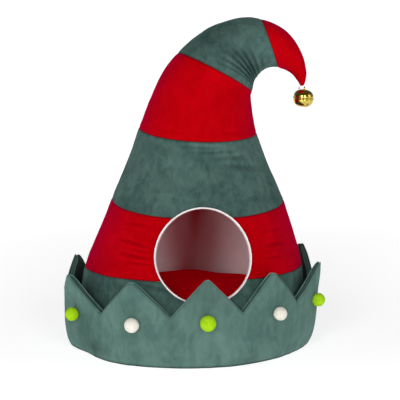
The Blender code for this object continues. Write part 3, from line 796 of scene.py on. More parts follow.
def place_lining(share, line):
    row, inset, reach, drop = line
    angle = 360 * share - 180
    top = ROW["seam_3"]
    down = drop if row == top else 0.0
    inset -= (1 - squeeze(skin_point(row, angle))) * LINING_INSET
    point = skin_point(row, angle, inset, -down)
    if drop > GAP and 0 < row < top:
        soft = 0.0012 * noise.noise(point * 18)
        soft += 0.0006 * noise.noise(Vector((point.x * 45, point.y * 45, point.z * 6)))
        point = skin_point(row, angle, inset + abs(soft))
    centre = frame_at(row).centre - frame_at(row).normal * down
    # Painted shade in the middle of the back, in soft upright streaks, narrow low down and wider higher up.
    streak = 0.9 + 0.4 * noise.noise(Vector((point.x * 26, 0.0, point.z * 5)))
    away = turn_apart(angle, RED_SHADE_MIDDLE) / (RED_SHADE_REACH + RED_SHADE_SPREAD * max(0.0, point.z - RED_SHADE_LOW))
    return centre + (point - centre) * reach, 0.95 * min(1.0, streak) * hump(away)


def make_lining_material():
    material, tree, shader, place = new_material("pale lining")
    pile = add_node(
        tree, "ShaderNodeGroup", {"node_tree": PILE}, Vector=place["Object"], Dark=(0.86, 0.69, 0.71, 1),
        Light=(0.96, 0.79, 0.81, 1), Cloud_Scale=8.0, Stroke_Scale=40.0, Grain_Scale=900.0,
    ).outputs
    # The back's middle is mixed towards dark red: painted shade with the cushion's red light in it.
    colour = mix_colour(tree, read_shade(tree), pile["Colour"], (0.52, 0.018, 0.05, 1))
    fill_inputs(tree, shader, Base_Color=colour, Roughness=pile["Roughness"], Specular_IOR_Level=0.1)
    bump(tree, shader, pile["Height"], 0.0003, 0.4)
    return material


lining = finish_piece(
    "lining_cloth", grid_of_cloth(LINING_COLUMNS, lining_lines(), place_lining), make_lining_material()
)
print(count(lining))

# %% [markdown]
# ## The way in
# A round hole is cut through the wall and its lining, square to the sloping front. A white bias strip is
# folded over the cut edge: a narrow lip on the velvet, a face as deep as the squeezed wall, and a lip on the
# lining. The strip is swept round the hole, and its section turns with the curved skin.

# %% Cut the hole
def hole_cutter():
    bm = bmesh.new()
    bmesh.ops.create_cone(
        bm, cap_ends=True, segments=144, radius1=HOLE_RADIUS, radius2=HOLE_RADIUS, depth=CONE_RADIUS
    )
    turn = Matrix((MOUTH.across, MOUTH.up, MOUTH.out)).transposed().to_4x4()
    bmesh.ops.transform(bm, matrix=Matrix.Translation(MOUTH.centre) @ turn, verts=bm.verts)
    return finish_piece("hole_cutter", bm, VELVET["red velvet"])


def cut_hole(piece):
    before = len(piece.data.polygons)
    apply_boolean(piece, hole_cutter(), "DIFFERENCE", "MANIFOLD")
    after = len(piece.data.polygons)
    if not 0.7 * before < after < before:
        raise RuntimeError(f"the cut spoilt {piece.name}: {before} faces became {after}")
    smooth(piece)


for piece in (bands["band_1_green"], bands["band_2_red"], bands["band_3_green"], lining):
    cut_hole(piece)
print("after the cut:", count(bands["band_2_red"]), count(lining))

# %% Bind its edge
BINDING_COLUMNS = 240
BINDING_PROUD = 0.0012


def make_binding_material():
    """White bias strip: a fine diagonal weave, a little grubby in its hollows."""
    material, tree, shader, place = new_material("white bias strip")
    turned = add_node(
        tree, "ShaderNodeMapping", None, Vector=place["Object"], Rotation=(0.0, math.radians(45), 0.0)
    ).outputs[0]
    threads = math_node(tree, "MAXIMUM", *(thread_node(tree, turned, axis, 420.0, 0.6, 1.0) for axis in "XZ"))
    dust = noise_node(tree, place["Object"], 45.0, 4.0)
    shade = math_node(tree, "MULTIPLY", threads, spread(tree, dust, 0.2, 0.6), True)
    colour = mix_colour(tree, shade, (0.78, 0.70, 0.70, 1), (0.93, 0.88, 0.88, 1))
    fill_inputs(tree, shader, Base_Color=colour, Roughness=0.8)
    bump(tree, shader, threads, 0.0002, 0.5)
    return material


def skin_normal(point):
    """The outward direction of the skin at a point on it."""
    step = 0.001
    slopes = []
    for axis in (Vector((step, 0, 0)), Vector((0, step, 0)), Vector((0, 0, step))):
        slopes.append(outside_skin(point + axis) - outside_skin(point - axis))
    return Vector(slopes).normalized()


def binding_section():
    """The strip's section, closed: along the skin away from the hole's middle, and out from the skin."""
    lip, proud, deep = BINDING_WIDTH, BINDING_PROUD, EDGE_DEPTH + BINDING_PROUD / 2
    over = ((0.97, 0.6), (0.75, 1.0), (0.4, 1.0), (0.15, 0.75), (0.0, 0.1))
    front = [(lip, -0.0004)] + [(lip * across, proud * up) for across, up in over]
    face = [(0.0002, -deep * share) for share in (0.15, 0.3, 0.45, 0.6, 0.75, 0.88)] + [(0.0005, -deep * 0.97)]
    back = [(lip * 0.4, -deep - proud * 0.3), (lip * 0.9, -deep - proud * 0.3), (lip, -deep * 0.97)]
    return front + face + back + [(lip * 0.8, -deep * 0.6), (lip * 0.8, -deep * 0.2)] + front[:1]


def binding_rim():
    """Points of the skin at the hole's clear edge, with the directions away from its middle and out."""
    rim = []
    for column in range(BINDING_COLUMNS + 1):
        turn = 2 * math.pi * column / BINDING_COLUMNS
        spoke = MOUTH.across * math.cos(turn) + MOUTH.up * math.sin(turn)
        edge = onto_skin(MOUTH.centre + spoke * OPENING_RADIUS, MOUTH.out)
        out = skin_normal(edge)
        rim.append((edge, (spoke - out * spoke.dot(out)).normalized(), out))
    return rim


RIM = binding_rim()


def place_binding(share, line):
    column = round(share * BINDING_COLUMNS) % BINDING_COLUMNS
    edge, away, out = RIM[column]
    radial, axial = line
    turn = 2 * math.pi * column / BINDING_COLUMNS
    ripple = 0.0003 * noise.noise(Vector((math.cos(turn) * 22, math.sin(turn) * 22, radial * 300 + axial * 90)))
    return edge + away * (radial + ripple) + out * (axial + ripple)


strip = grid_of_cloth(BINDING_COLUMNS, binding_section(), place_binding)
binding = finish_piece("opening_binding_cloth", strip, make_binding_material())
print(count(binding))

# %% [markdown]
# ## The zigzag collar
# Ten padded points stand round the foot. Two layers of velvet are joined by a narrow strip along the zigzag,
# with a seam on each of its edges. So the section has a crowned face, a ridge, a groove, the strip, and the
# same again on the inside. The outline is an ellipse, and each point leans out by its own amount and thins
# towards its end.

# %% Outline of the collar
COLLAR_STAND_OFF = 0.0035
COLLAR_SPREAD = 0.0165
COLLAR_THICKNESS = 0.012
COLLAR_RADIUS = CONE_RADIUS + COLLAR_STAND_OFF + COLLAR_THICKNESS
VALLEY_HEIGHT = 0.100
POINT_HEIGHT = 0.167
POINT_LEAN = 0.013
POINTS_START = 0.8 * VALLEY_HEIGHT
COLLAR_HEIGHTS = (0.0, 0.013, 0.040, 0.080)
COLLAR_SHARES = (0.957, 0.976, 0.992, 1.000)
WAVE_SHARES = (1.0, 0.6, 0.0, 0.0)
# Waves of the foot: where each is and its half width in degrees, and how far it comes in as a share
FOOT_WAVES = ((-68.0, 10.0, 0.036), (-40.0, 12.0, -0.018), (6.0, 12.0, -0.004), (52.0, 26.0, 0.026))
LEAN_RISES = (0.0, 0.35, 0.70, 1.0)
LEAN_SHARES = (0.0, 0.22, 0.60, 1.0)

# Points of the collar from the front one round to the right: turn from an even spacing, height and lean. Then
# the valley after each, its turn and height, and the size of the point's ball.
Point = namedtuple("Point", "turn height lean valley_turn valley_height ball")
POINTS = (
    Point(0.0, 1.04, 1.0, -0.7, 1.05, 1.00),
    Point(-4.8, 1.06, 1.0, -4.0, 1.075, 0.86),
    Point(-2.0, 1.01, 1.1, -2.0, 1.04, 0.88),
    Point(1.5, 1.02, 1.0, 0.0, 1.00, 0.95),
    Point(0.0, 1.00, 1.0, 0.0, 1.00, 0.95),
    Point(0.0, 1.00, 1.0, 0.0, 1.00, 0.95),
    Point(0.0, 1.00, 1.0, -1.0, 0.98, 0.95),
    Point(-5.0, 0.95, -0.3, -2.0, 0.96, 0.95),
    Point(-0.5, 0.93, 1.0, 2.3, 0.95, 0.88),
    Point(2.0, 0.99, 1.0, 1.2, 1.00, 0.93),
)
PITCH = 360 / len(POINTS)
APEX_ROUND = 0.09
VALLEY_ROUND = 0.03


def smooth_table(value, steps, values):
    """A value read from a short table with a smooth curve through its entries."""
    if value <= steps[0]:
        return values[0]
    for index in range(len(steps) - 1):
        if value <= steps[index + 1]:
            break
    else:
        return values[-1]
    before, after = max(index - 1, 0), min(index + 2, len(steps) - 1)
    span = steps[index + 1] - steps[index]
    slope_in = (values[index + 1] - values[before]) / (steps[index + 1] - steps[before])
    slope_out = (values[after] - values[index]) / (steps[after] - steps[index])
    t = (value - steps[index]) / span
    return smooth_between(values[index], values[index + 1], slope_in, slope_out, span, t)


def edge_drop(t):
    """Share of the way down from a point to its valley, rounded at both ends."""
    slope_share = 1 / (1 - APEX_ROUND / 2 - VALLEY_ROUND / 2)
    if t < APEX_ROUND:
        return slope_share * t * t / (2 * APEX_ROUND)
    if t > 1 - VALLEY_ROUND:
        return 1 - slope_share * (1 - t) ** 2 / (2 * VALLEY_ROUND)
    return slope_share * (t - APEX_ROUND / 2)


EDGE_STEPS = (0.0, 0.012, 0.03, 0.05, 0.075, 0.11) + tuple(step / 20 for step in range(3, 19))
EDGE_STEPS += (0.94, 0.965, 0.985, 0.995)


def collar_columns():
    """Angle, top height, lean and nearness to a point of every column round the collar."""
    stops = []
    for index, point in enumerate(POINTS):
        stops.append((index * PITCH + point.turn, POINT_HEIGHT * point.height, POINT_LEAN * point.lean))
        stops.append(((index + 0.5) * PITCH + point.valley_turn, VALLEY_HEIGHT * point.valley_height, 0.0))
    stops.append((stops[0][0] + 360, *stops[0][1:]))
    columns = []
    for index, (before, after) in enumerate(zip(stops, stops[1:])):
        falling = index % 2 == 0
        steps = EDGE_STEPS if falling else tuple(1 - step for step in reversed(EDGE_STEPS))
        for t in steps:
            drop = edge_drop(t) if falling else 1 - edge_drop(1 - t)
            angle = before[0] + (after[0] - before[0]) * t
            top, lean = before[1] + (after[1] - before[1]) * drop, before[2] + (after[2] - before[2]) * t
            columns.append((angle, top, lean, 1 - t if falling else t))
    return sorted(set(columns)) + [(columns[0][0] + 360, *columns[0][1:])]


COLUMNS = collar_columns()
print("collar columns:", len(COLUMNS))

# %% Build the collar
PUFF = 0.0032
PUFF_REACH = 0.0082
EDGE_SLANT = 0.74
EDGE_FALL = 0.0040
EDGE_THICKNESS = 0.0130
POINT_TAPER = 0.62
TAPER_REACH = 0.014
# Painted shade in the dents of the face, and a painted contact shadow along the foot: the dent depth for a
# whole share of shade, the shadow's darkness and its height.
DENT_SHADE = 0.009
CONTACT_SHADOW = 0.8
CONTACT_SHADOW_HEIGHT = 0.0030
# Dents and pleats of its outer face: angle, height, spread of both and depth
COLLAR_DENTS = (
    (-58.0, 0.020, 9.0, 0.016, 0.0040),
    (-66.0, 0.062, 9.0, 0.030, 0.0018),
    (-17.0, 0.078, 2.2, 0.026, 0.0016),
    (-21.5, 0.082, 2.4, 0.022, -0.0010),
    (5.5, 0.022, 2.2, 0.024, 0.0018),
    (9.5, 0.024, 2.4, 0.022, -0.0010),
    (-33.0, 0.016, 3.0, 0.018, 0.0014),
    (24.0, 0.018, 3.0, 0.020, 0.0012),
    (38.0, 0.050, 14.0, 0.028, 0.0012),
    (150.0, 0.030, 12.0, 0.030, 0.0018),
)
# Patches of its face that are lighter or darker: angle, height, spread of both and how much lighter
COLLAR_PATCHES = (
    (0.0, 0.140, 14.0, 0.030, -0.26), (-72.0, 0.120, 16.0, 0.050, 0.20), (-45.0, 0.020, 20.0, 0.030, 0.08),
    (48.0, 0.060, 12.0, 0.040, 0.10), (-12.0, 0.060, 7.0, 0.024, -0.08),
)
# The strip along the zigzag: share of the thickness from the outer face, drop below the crest and shade, which
# is a painted highlight on each seam ridge and painted shade in the grooves and across the strip
STRIP = (
    (0.008, 0.0036, -0.20), (0.018, 0.0028, -0.50), (0.030, 0.0016, -0.10), (0.050, 0.0004, 0.35),
    (0.080, 0.0, 0.55), (0.110, 0.0005, 0.35), (0.14, 0.0018, -0.40), (0.17, 0.0024, -0.60),
    (0.24, 0.0020, -0.50), (0.40, 0.0016, -0.42), (0.60, 0.0016, -0.42), (0.76, 0.0020, -0.50),
    (0.83, 0.0024, -0.60), (0.86, 0.0018, -0.35), (0.89, 0.0005, 0.35), (0.92, 0.0, 0.55),
    (0.95, 0.0004, 0.35), (0.970, 0.0016, -0.10), (0.982, 0.0028, -0.40), (0.992, 0.0036, -0.20),
)
FOOT_LINES = [0.0, 0.0012, 0.0035, 0.0065, 0.010, 0.014] + [0.014 + 0.0022 * step for step in range(1, 31)]
RISE_LINES = [step / 36 for step in range(1, 37)]


def collar_radius(angle, height):
    turn = math.radians(angle)
    wide, deep = COLLAR_RADIUS + COLLAR_SPREAD, COLLAR_RADIUS
    radius = 1 / math.hypot(math.sin(turn) / wide, math.cos(turn) / deep)
    waves = sum(depth * hump(turn_apart(angle, middle) / reach) for middle, reach, depth in FOOT_WAVES)
    share = smooth_table(height, COLLAR_HEIGHTS, COLLAR_SHARES)
    return radius * (share - waves * smooth_table(height, COLLAR_HEIGHTS, WAVE_SHARES))


def collar_relief(angle, height):
    """Dents and soft folds of the collar's outer face."""
    turn = math.radians(angle)
    point = Vector((COLLAR_RADIUS * math.sin(turn), COLLAR_RADIUS * math.cos(turn), height))
    total = 0.0012 * noise.fractal(point * 14, 1.0, 2.0, 3)
    total += 0.0007 * noise.noise(Vector((point.x * 62, point.y * 62, point.z * 11)))
    return total - patches(COLLAR_DENTS, angle, height)


# Painted light and shade of the collar's face: its lighter and darker patches, painted shade in its dents and a
# painted contact shadow along its foot.
def collar_shade(angle, height):
    dents = patches(COLLAR_DENTS, angle, height) / DENT_SHADE
    return patches(COLLAR_PATCHES, angle, height) - dents - CONTACT_SHADOW * hump(height / CONTACT_SHADOW_HEIGHT)


def place_collar(share, line):
    """A point of the collar on a line, which is a side, a kind of level and what that kind needs."""
    angle, top, lean, near = COLUMNS[round(share * (len(COLUMNS) - 1))]
    side, kind, value = line
    if kind == "foot":
        height = value
    elif kind == "rise":
        height = POINTS_START + (top - EDGE_FALL - POINTS_START) * value
    else:
        through, drop, shade = value
        height = top - drop
    rise = max(0.0, (height - POINTS_START) / (top - POINTS_START))
    to_edge = max(0.0, (top - height) * EDGE_SLANT)
    puff = PUFF * (1 - math.exp(-to_edge / PUFF_REACH))
    edge = COLLAR_THICKNESS - PUFF
    edge += (EDGE_THICKNESS - edge) * min(1.0, 3 * rise)
    edge *= 1 - POINT_TAPER * near**10 * hump((top - height) / TAPER_REACH)
    radius = collar_radius(angle, height) + lean * smooth_table(rise, LEAN_RISES, LEAN_SHARES) - PUFF + puff
    dressed = collar_relief(angle, height)
    if side == "outer":
        radius += dressed
        shade = collar_shade(angle, height)
    elif side == "strip":
        radius += dressed * (1 - through) - through * edge
    else:
        radius += 0.3 * dressed - edge - 0.4 * puff
        shade = 0.0
    turn = math.radians(angle)
    return Vector((radius * math.sin(turn), -radius * math.cos(turn), max(height, 0.0))), shade


def collar_lines():
    outer = [("outer", "foot", height) for height in FOOT_LINES]
    outer += [("outer", "rise", rise) for rise in RISE_LINES]
    strip = [("strip", "strip", value) for value in STRIP]
    inner = [("inner", "rise", rise) for rise in reversed(RISE_LINES[::2])]
    inner += [("inner", "foot", height) for height in reversed(FOOT_LINES[::3])]
    return outer + strip + inner + outer[:1]


zigzag = grid_of_cloth(len(COLUMNS) - 1, collar_lines(), place_collar)
collar = finish_piece("collar_cloth", zigzag, VELVET["collar velvet"], 75.0)
print(count(collar))

# %% [markdown]
# ## Felted balls
# Each ball is wool felted to a firm round, a little lumpy and with a matted, fuzzy face. A fine round mesh is
# pushed in and out by noise of three sizes, and its back is pressed flat where it is sewn on.

# %% Build the balls
BALL_DIAMETER = 0.030
BALL_BACK = 0.8
BALL_SINK = 0.0015
# Lumps of the felt: how high they are and how many there are in a metre
LUMPS = ((0.0006, 130), (0.0003, 480), (0.00016, 1300))


def make_felt(name, dark, light):
    material, tree, shader, place = new_material(name)
    fibres = noise_node(tree, place["Object"], 620.0, 4.0, 0.7, 2.0)
    lumps = noise_node(tree, place["Object"], 160.0, 2.0)
    mixed = math_node(tree, "MULTIPLY", spread(tree, fibres, 0.3, 0.7), spread(tree, lumps, 0.1, 0.6), True)
    fill_inputs(
        tree, shader, Base_Color=mix_colour(tree, mixed, (*dark, 1), (*light, 1)), Roughness=0.95,
        Specular_IOR_Level=0.05, Sheen_Weight=0.12, Sheen_Roughness=0.6, Sheen_Tint=(*light, 1),
    )
    bump(tree, shader, fibres, 0.0008, 0.6)
    return material


LIME = make_felt("lime felt", (0.26, 0.50, 0.006), (0.46, 0.76, 0.018))
CREAM = make_felt("white felt", (0.68, 0.64, 0.56), (0.90, 0.87, 0.79))


def ball_place(node, radius):
    """The middle and outward direction of a ball's solid, whose foremost point is its pole."""
    points = [vert.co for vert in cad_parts[node].data.vertices]
    middle = sum(points, Vector()) / len(points)
    outward = Vector((middle.x, middle.y, 0)).normalized()
    pole = max(points, key=lambda point: point.dot(outward))
    out = (pole - middle).normalized()
    return pole - out * (radius + BALL_SINK), out


def build_ball(number):
    node = f"pompom_{number:02d}"
    radius = BALL_DIAMETER * POINTS[number - 1].ball / 2
    middle, out = ball_place(node, radius)
    bm = bmesh.new()
    bmesh.ops.create_icosphere(bm, subdivisions=6, radius=radius)
    for vert in bm.verts:
        seed = vert.co + Vector((number, 0, 0))
        vert.co *= 1 + sum(height * noise.noise(seed * scale) for height, scale in LUMPS) / radius
        vert.co.z = max(vert.co.z, -BALL_BACK * radius)
    turn = out.to_track_quat("Z", "Y").to_matrix().to_4x4()
    bmesh.ops.transform(bm, matrix=Matrix.Translation(middle) @ turn, verts=bm.verts)
    return finish_piece(f"{node}_felt", bm, LIME if number % 2 else CREAM)


balls = [build_ball(number) for number in range(1, len(POINTS) + 1)]
print(count(balls[0]))

# %% [markdown]
# ## The bell
# A jingle bell is two thin pressed cups crimped together at a raised lip, with crossed slots below and a wire
# loop on top. A half outline is spun round, the slots are cut out of it, and the wire is a spun ring.

# %% Build the bell
BELL_DIAMETER = 0.0425
BELL_HEIGHT = 0.035
BELL_SHEET = 0.001
BELL_TURN = 6.0
BELL_SHIFT = 0.005
SLOT_WIDTH = 0.0028
SLOT_END_DIAMETER = 0.0055
SHANK_RADIUS = 0.0034
SHANK_WIRE = 0.0018
RIBBON_WIDTH = 0.0026
RIBBON_THICKNESS = 0.001
LIP = 0.0009
LIP_REACH = 0.0011
LIP_GROOVE = 0.0004
LIP_LEVELS = (0.0005, 0.0009, 0.0012, 0.0015, 0.0020, 0.0026)
CUP_FULL = 0.82
SLOT_TURNS = (25, 115)
GOLD_EDGE = 40.0


def spun(outline, segments, axis=(0, 0, 1), centre=(0, 0, 0)):
    """A bmesh turned round an axis from points that a line of edges joins."""
    bm = bmesh.new()
    verts = [bm.verts.new(point) for point in outline]
    edges = [bm.edges.new(pair) for pair in zip(verts, verts[1:])]
    bmesh.ops.spin(
        bm, geom=verts + edges, axis=axis, cent=centre, angle=2 * math.pi, steps=segments, use_merge=True
    )
    return bm


def cup_point(turn, radius, half):
    """A point of a cup's half outline, which is a little fuller than an ellipse."""
    across, up = math.cos(turn), math.sin(turn)
    return radius * abs(across) ** CUP_FULL, math.copysign(half * abs(up) ** CUP_FULL, up)


def bell_outline():
    """The cup's outside from the bottom to the top with its crimped lip, then its inside back down."""
    radius, half = BELL_DIAMETER / 2 - LIP, BELL_HEIGHT / 2
    turns = [math.pi * step / 60 - math.pi / 2 for step in range(1, 60)]
    beside = [math.asin((level / half) ** (1 / CUP_FULL)) for level in LIP_LEVELS]
    turns += beside + [-turn for turn in beside]
    outside = [(0, 0, -half)]
    for turn in sorted(turns):
        across, z = cup_point(turn, radius, half)
        lip = LIP * hump((z / LIP_REACH) ** 2) - LIP_GROOVE * hump((abs(z) - 0.0020) / 0.0006)
        outside.append((across + lip, 0, z))
    outside.append((0, 0, half))
    inside = [(0, 0, half - BELL_SHEET)]
    for step in range(1, 40):
        across, z = cup_point(math.pi / 2 - math.pi * step / 40, radius - BELL_SHEET, half - BELL_SHEET)
        inside.append((across, 0, z))
    inside.append((0, 0, BELL_SHEET - half))
    return outside, inside


def make_gold():
    material, tree, shader, place = new_material("gold plate")
    marks = noise_node(tree, place["Object"], 260.0, 5.0, 0.65)
    scratches = noise_node(tree, stretch_node(tree, place["Object"], (1.0, 1.0, 14.0)), 180.0, 3.0)
    worn = spread(tree, marks, 0.35, 0.75)
    colour = mix_colour(tree, worn, (0.74, 0.56, 0.12, 1), (0.50, 0.36, 0.06, 1))
    rough = math_node(tree, "ADD", 0.07, math_node(tree, "MULTIPLY", worn, 0.10))
    fill_inputs(tree, shader, Base_Color=colour, Roughness=rough, Metallic=1.0)
    bump(tree, shader, math_node(tree, "ADD", marks, scratches), 0.00006, 0.5)
    return material


GOLD = make_gold()
TIP = frame_at(len(ROWS) - 1).centre
SHANK_HEIGHT = BELL_HEIGHT / 2 + SHANK_RADIUS * 0.6
BELL_REACH = SHANK_HEIGHT + SHANK_RADIUS + SHANK_WIRE / 2
BELL_PLACE = (
    Matrix.Translation(TIP + Vector((BELL_SHIFT, 0, -(2 * GAP + RIBBON_THICKNESS))))
    @ Matrix.Rotation(math.radians(BELL_TURN), 4, "Y")
    @ Matrix.Translation((0, 0, -BELL_REACH))
)


def slot_bar(end):
    """The straight part of a slot, from its ends down."""
    bm = bmesh.new()
    size = (BELL_DIAMETER * 1.2, SLOT_WIDTH, BELL_HEIGHT, 1)
    place = Matrix.Translation((0, 0, end - BELL_HEIGHT / 2)) @ Matrix.Diagonal(size)
    bmesh.ops.create_cube(bm, size=1, matrix=place)
    return bm


def slot_hole(end):
    """The wider round holes at both ends of a slot."""
    bm = bmesh.new()
    radius = SLOT_END_DIAMETER / 2
    bmesh.ops.create_cone(
        bm, cap_ends=True, segments=32, radius1=radius, radius2=radius, depth=BELL_DIAMETER * 1.2,
        matrix=Matrix.Translation((0, 0, end)) @ Matrix.Rotation(math.pi / 2, 4, "Y"),
    )
    return bm


def build_bell():
    outside, inside = bell_outline()
    bell = finish_piece("bell_cups", spun(outside, 96), GOLD, GOLD_EDGE)
    apply_boolean(bell, finish_piece("bell_hollow", spun(inside, 96), GOLD), "DIFFERENCE")
    for turn in SLOT_TURNS:
        for part in (slot_bar, slot_hole):
            bm = part(-0.30 * BELL_HEIGHT)
            spin = Matrix.Rotation(math.radians(turn), 3, "Z")
            bmesh.ops.rotate(bm, verts=bm.verts, cent=(0, 0, 0), matrix=spin)
            apply_boolean(bell, finish_piece("slot", bm, GOLD), "DIFFERENCE")
    ring = []
    for step in range(17):
        turn = 2 * math.pi * step / 16
        up = SHANK_HEIGHT + SHANK_RADIUS + SHANK_WIRE / 2 * math.sin(turn)
        ring.append((SHANK_WIRE / 2 * math.cos(turn), 0, up))
    wire = finish_piece("shank", spun(ring, 40, (1, 0, 0), (0, 0, SHANK_HEIGHT)), GOLD)
    apply_boolean(bell, wire, "UNION")
    bell.data.transform(BELL_PLACE)
    smooth(bell, GOLD_EDGE)
    return bell


bell = build_bell()
print(count(bell))

# %% [markdown]
# ## The ribbon
# A narrow red ribbon ties the bell to the pinched tip. It goes through the wire loop and comes back up in a
# slack bow over the bell's left shoulder. A small knot of the same ribbon closes it under the tip.

# %% Build the ribbon
RIBBON_COLUMNS = 96


def make_ribbon_material():
    material, tree, shader, place = new_material("red ribbon")
    ribs = thread_node(tree, place["UV"], "X", 26.0, 0.3)
    colour = mix_colour(tree, ribs, (0.36, 0.001, 0.004, 1), (0.58, 0.004, 0.014, 1))
    fill_inputs(tree, shader, Base_Color=colour, Roughness=0.85, Specular_IOR_Level=0.05)
    bump(tree, shader, ribs, 0.0001, 0.6)
    return material


def ribbon_route():
    """The loop's middle line across from the tip and down from it."""
    half = RIBBON_THICKNESS / 2
    wire = 2 * GAP + RIBBON_THICKNESS
    hole = SHANK_RADIUS - SHANK_WIRE / 2
    rounding = hole - math.sqrt(hole * hole - (RIBBON_WIDTH / 2) ** 2)
    low = wire + SHANK_WIRE + rounding + GAP + half
    beside = SHANK_WIRE / 2 + 2 * GAP + half
    slack = 0.15 * BELL_DIAMETER
    return (
        (BELL_SHIFT, GAP + half), (BELL_SHIFT + beside + half, wire + half), (BELL_SHIFT + beside, low),
        (BELL_SHIFT - beside, low), (-slack, low + 0.30 * slack), (-1.15 * slack, low + 0.10 * slack),
        (-slack, low - 0.15 * slack), (-2 * half, GAP + half),
    )


def loop_point(route, share):
    """A point on a closed smooth curve through the route, and its direction."""
    place = share * len(route)
    index = int(place) % len(route)
    t = place - int(place)
    p0, p1, p2, p3 = (Vector(route[(index + k) % len(route)]) for k in (-1, 0, 1, 2))
    tension = 0.3
    m1, m2 = (p2 - p0) * tension, (p3 - p1) * tension
    ease = t * t * (3 - 2 * t)
    point = p1 * (1 - ease) + p2 * ease + m1 * t * (1 - t) ** 2 - m2 * t * t * (1 - t)
    along = (p2 - p1) * 6 * t * (1 - t) + m1 * (1 - t) * (1 - 3 * t) + m2 * t * (3 * t - 2)
    return point, along.normalized()


def place_ribbon(share, corner):
    (x, down), along = loop_point(ROUTE, share % 1.0)
    side = Vector((along.y, 0, along.x)) * corner[0]
    return TIP + Vector((x, 0, -down)) + side + Vector((0, corner[1], 0))


def ribbon_section():
    """A flat oblong with its corners taken off, closed."""
    corners = ((1.0, 0.8), (0.6, 1.0), (-0.6, 1.0), (-1.0, 0.8))
    half = [(RIBBON_THICKNESS / 2 * x, RIBBON_WIDTH / 2 * y) for x, y in corners]
    return half + [(-x, -y) for x, y in half] + half[:1]


ROUTE = ribbon_route()
loop = grid_of_cloth(RIBBON_COLUMNS, ribbon_section(), place_ribbon)
ribbon = finish_piece("bell_ribbon", loop, make_ribbon_material())
KNOT_MIDDLE = TIP + Vector((0.0012, 0, -0.0044))
KNOT_SIZE = (0.0062, 0.0046, 0.0052)


def tie_knot(piece):
    """Joins a knot to the ribbon, round the wire loop: a ball with turns of ribbon wound across it."""
    bm = bmesh.new()
    bmesh.ops.create_icosphere(bm, subdivisions=5, radius=1.0)
    for vert in bm.verts:
        turns = math.sin(7 * vert.co.x + 5 * vert.co.z) * 0.07 + 0.10 * noise.noise(vert.co * 1.7)
        vert.co = KNOT_MIDDLE + Vector(size * value for size, value in zip(KNOT_SIZE, vert.co)) * (1 + turns)
    apply_boolean(piece, finish_piece("knot", bm, piece.data.materials[0]), "UNION")
    piece.data.shade_smooth()


tie_knot(ribbon)
print(count(ribbon))

# %% [markdown]
# ## The cushion
# The loose cushion fills the cave's floor. It is blown up like a real one: a flat round of cloth is remeshed,
# given Blender's cloth with pressure inside, and left to swell for a few frames. How far a point may move is
# capped, so it stays clear of the lining, and one subdivision smooths it.

# %% Build the cushion
CUSHION_THICKNESS = 0.085
CUSHION_CLEARANCE = 0.004
CUSHION_STEPS = (0.00, 0.12, 0.42, 0.72, 0.90, 1.00, 0.97)
CUSHION_REACHES = (0.84, 0.95, 1.00, 0.97, 0.88, 0.70, 0.35)
CUSHION_MIDDLE = 0.95
CUSHION_SECTION = frame_at(row_at_height(SEAT_HEIGHT + CUSHION_THICKNESS / 2))
CUSHION_RADIUS = min(CUSHION_SECTION.radius, frame_at(0).radius) - CAVE_INSET - CUSHION_CLEARANCE
START_INSET = 0.006
CUSHION_VOXEL = 0.0055
CUSHION_CAP = 0.009
CUSHION_FRAMES = 20
CUSHION_PRESSURE = 4.0
CUSHION_SHRINK = -0.06
# Soft hills and hollows of its top: x, y, spread and height
CUSHION_WAVES = (
    (0.018, 0.140, 0.032, 0.0030), (0.082, 0.140, 0.030, -0.0045), (0.130, 0.120, 0.026, 0.0020),
    (-0.060, 0.060, 0.040, -0.0040), (0.030, 0.020, 0.045, -0.0050), (-0.010, -0.090, 0.035, -0.0035),
    (0.095, -0.040, 0.035, 0.0020), (-0.110, -0.040, 0.030, 0.0015),
)


def start_form():
    """The cushion before it swells: a round a little smaller than its place, with the waves of its top."""
    middle = Vector((CUSHION_SECTION.centre.x, 0, SEAT_HEIGHT))
    reach, rise = CUSHION_RADIUS - START_INSET, CUSHION_THICKNESS - START_INSET
    outline = [(0, 0, 0)]
    outline += [(reach * share, 0, rise * height) for height, share in zip(CUSHION_STEPS, CUSHION_REACHES)]
    outline.append((0, 0, rise * CUSHION_MIDDLE))
    bm = spun(outline, 96)
    bmesh.ops.subdivide_edges(bm, edges=bm.edges, cuts=3, use_grid_fill=True)
    for vert in bm.verts:
        share = (vert.co.z / rise) ** 2
        for x, y, spread_out, height in CUSHION_WAVES:
            off = Vector((vert.co.x - x, vert.co.y - y)).length / spread_out
            vert.co.z += height * share * hump(off)
        vert.co += middle
    return finish_piece("cushion_cloth", bm, VELVET["cushion velvet with painted light"])


def swell(piece):
    """Blows the cushion up from inside, and moves its points there by no more than the cap."""
    before = [vert.co.copy() for vert in piece.data.vertices]
    modifier = piece.modifiers.new("filling", "CLOTH")
    modifier.settings.quality = 6
    modifier.settings.use_pressure = True
    modifier.settings.uniform_pressure_force = CUSHION_PRESSURE
    modifier.settings.shrink_min = CUSHION_SHRINK
    modifier.settings.effector_weights.gravity = 0
    modifier.point_cache.frame_end = CUSHION_FRAMES
    for number in range(1, CUSHION_FRAMES + 1):
        scene.frame_set(number)
    graph = bpy.context.evaluated_depsgraph_get()
    after = [vert.co.copy() for vert in piece.evaluated_get(graph).data.vertices]
    piece.modifiers.remove(modifier)
    for vert, old, new in zip(piece.data.vertices, before, after):
        move = new - old
        vert.co = old + move * min(1.0, CUSHION_CAP / max(move.length, 1e-6))
        vert.co.z = max(vert.co.z, SEAT_HEIGHT)
    scene.frame_set(1)


def build_cushion():
    cushion = start_form()
    cushion.data.remesh_voxel_size = CUSHION_VOXEL
    with bpy.context.temp_override(object=cushion, active_object=cushion, selected_objects=[cushion]):
        bpy.ops.object.voxel_remesh()
    swell(cushion)
    cushion.data.shade_smooth()
    modifier = cushion.modifiers.new("round", "SUBSURF")
    modifier.levels = modifier.render_levels = 1
    return cushion


cushion = build_cushion()
print(count(cushion), "top at", round(max(vert.co.z for vert in cushion.data.vertices), 4))

# %% [markdown]
# ## The sole
# The floor pad is what everything is sewn to. Only its edge and its underside can be seen, from below, in a
# dark woven cloth.

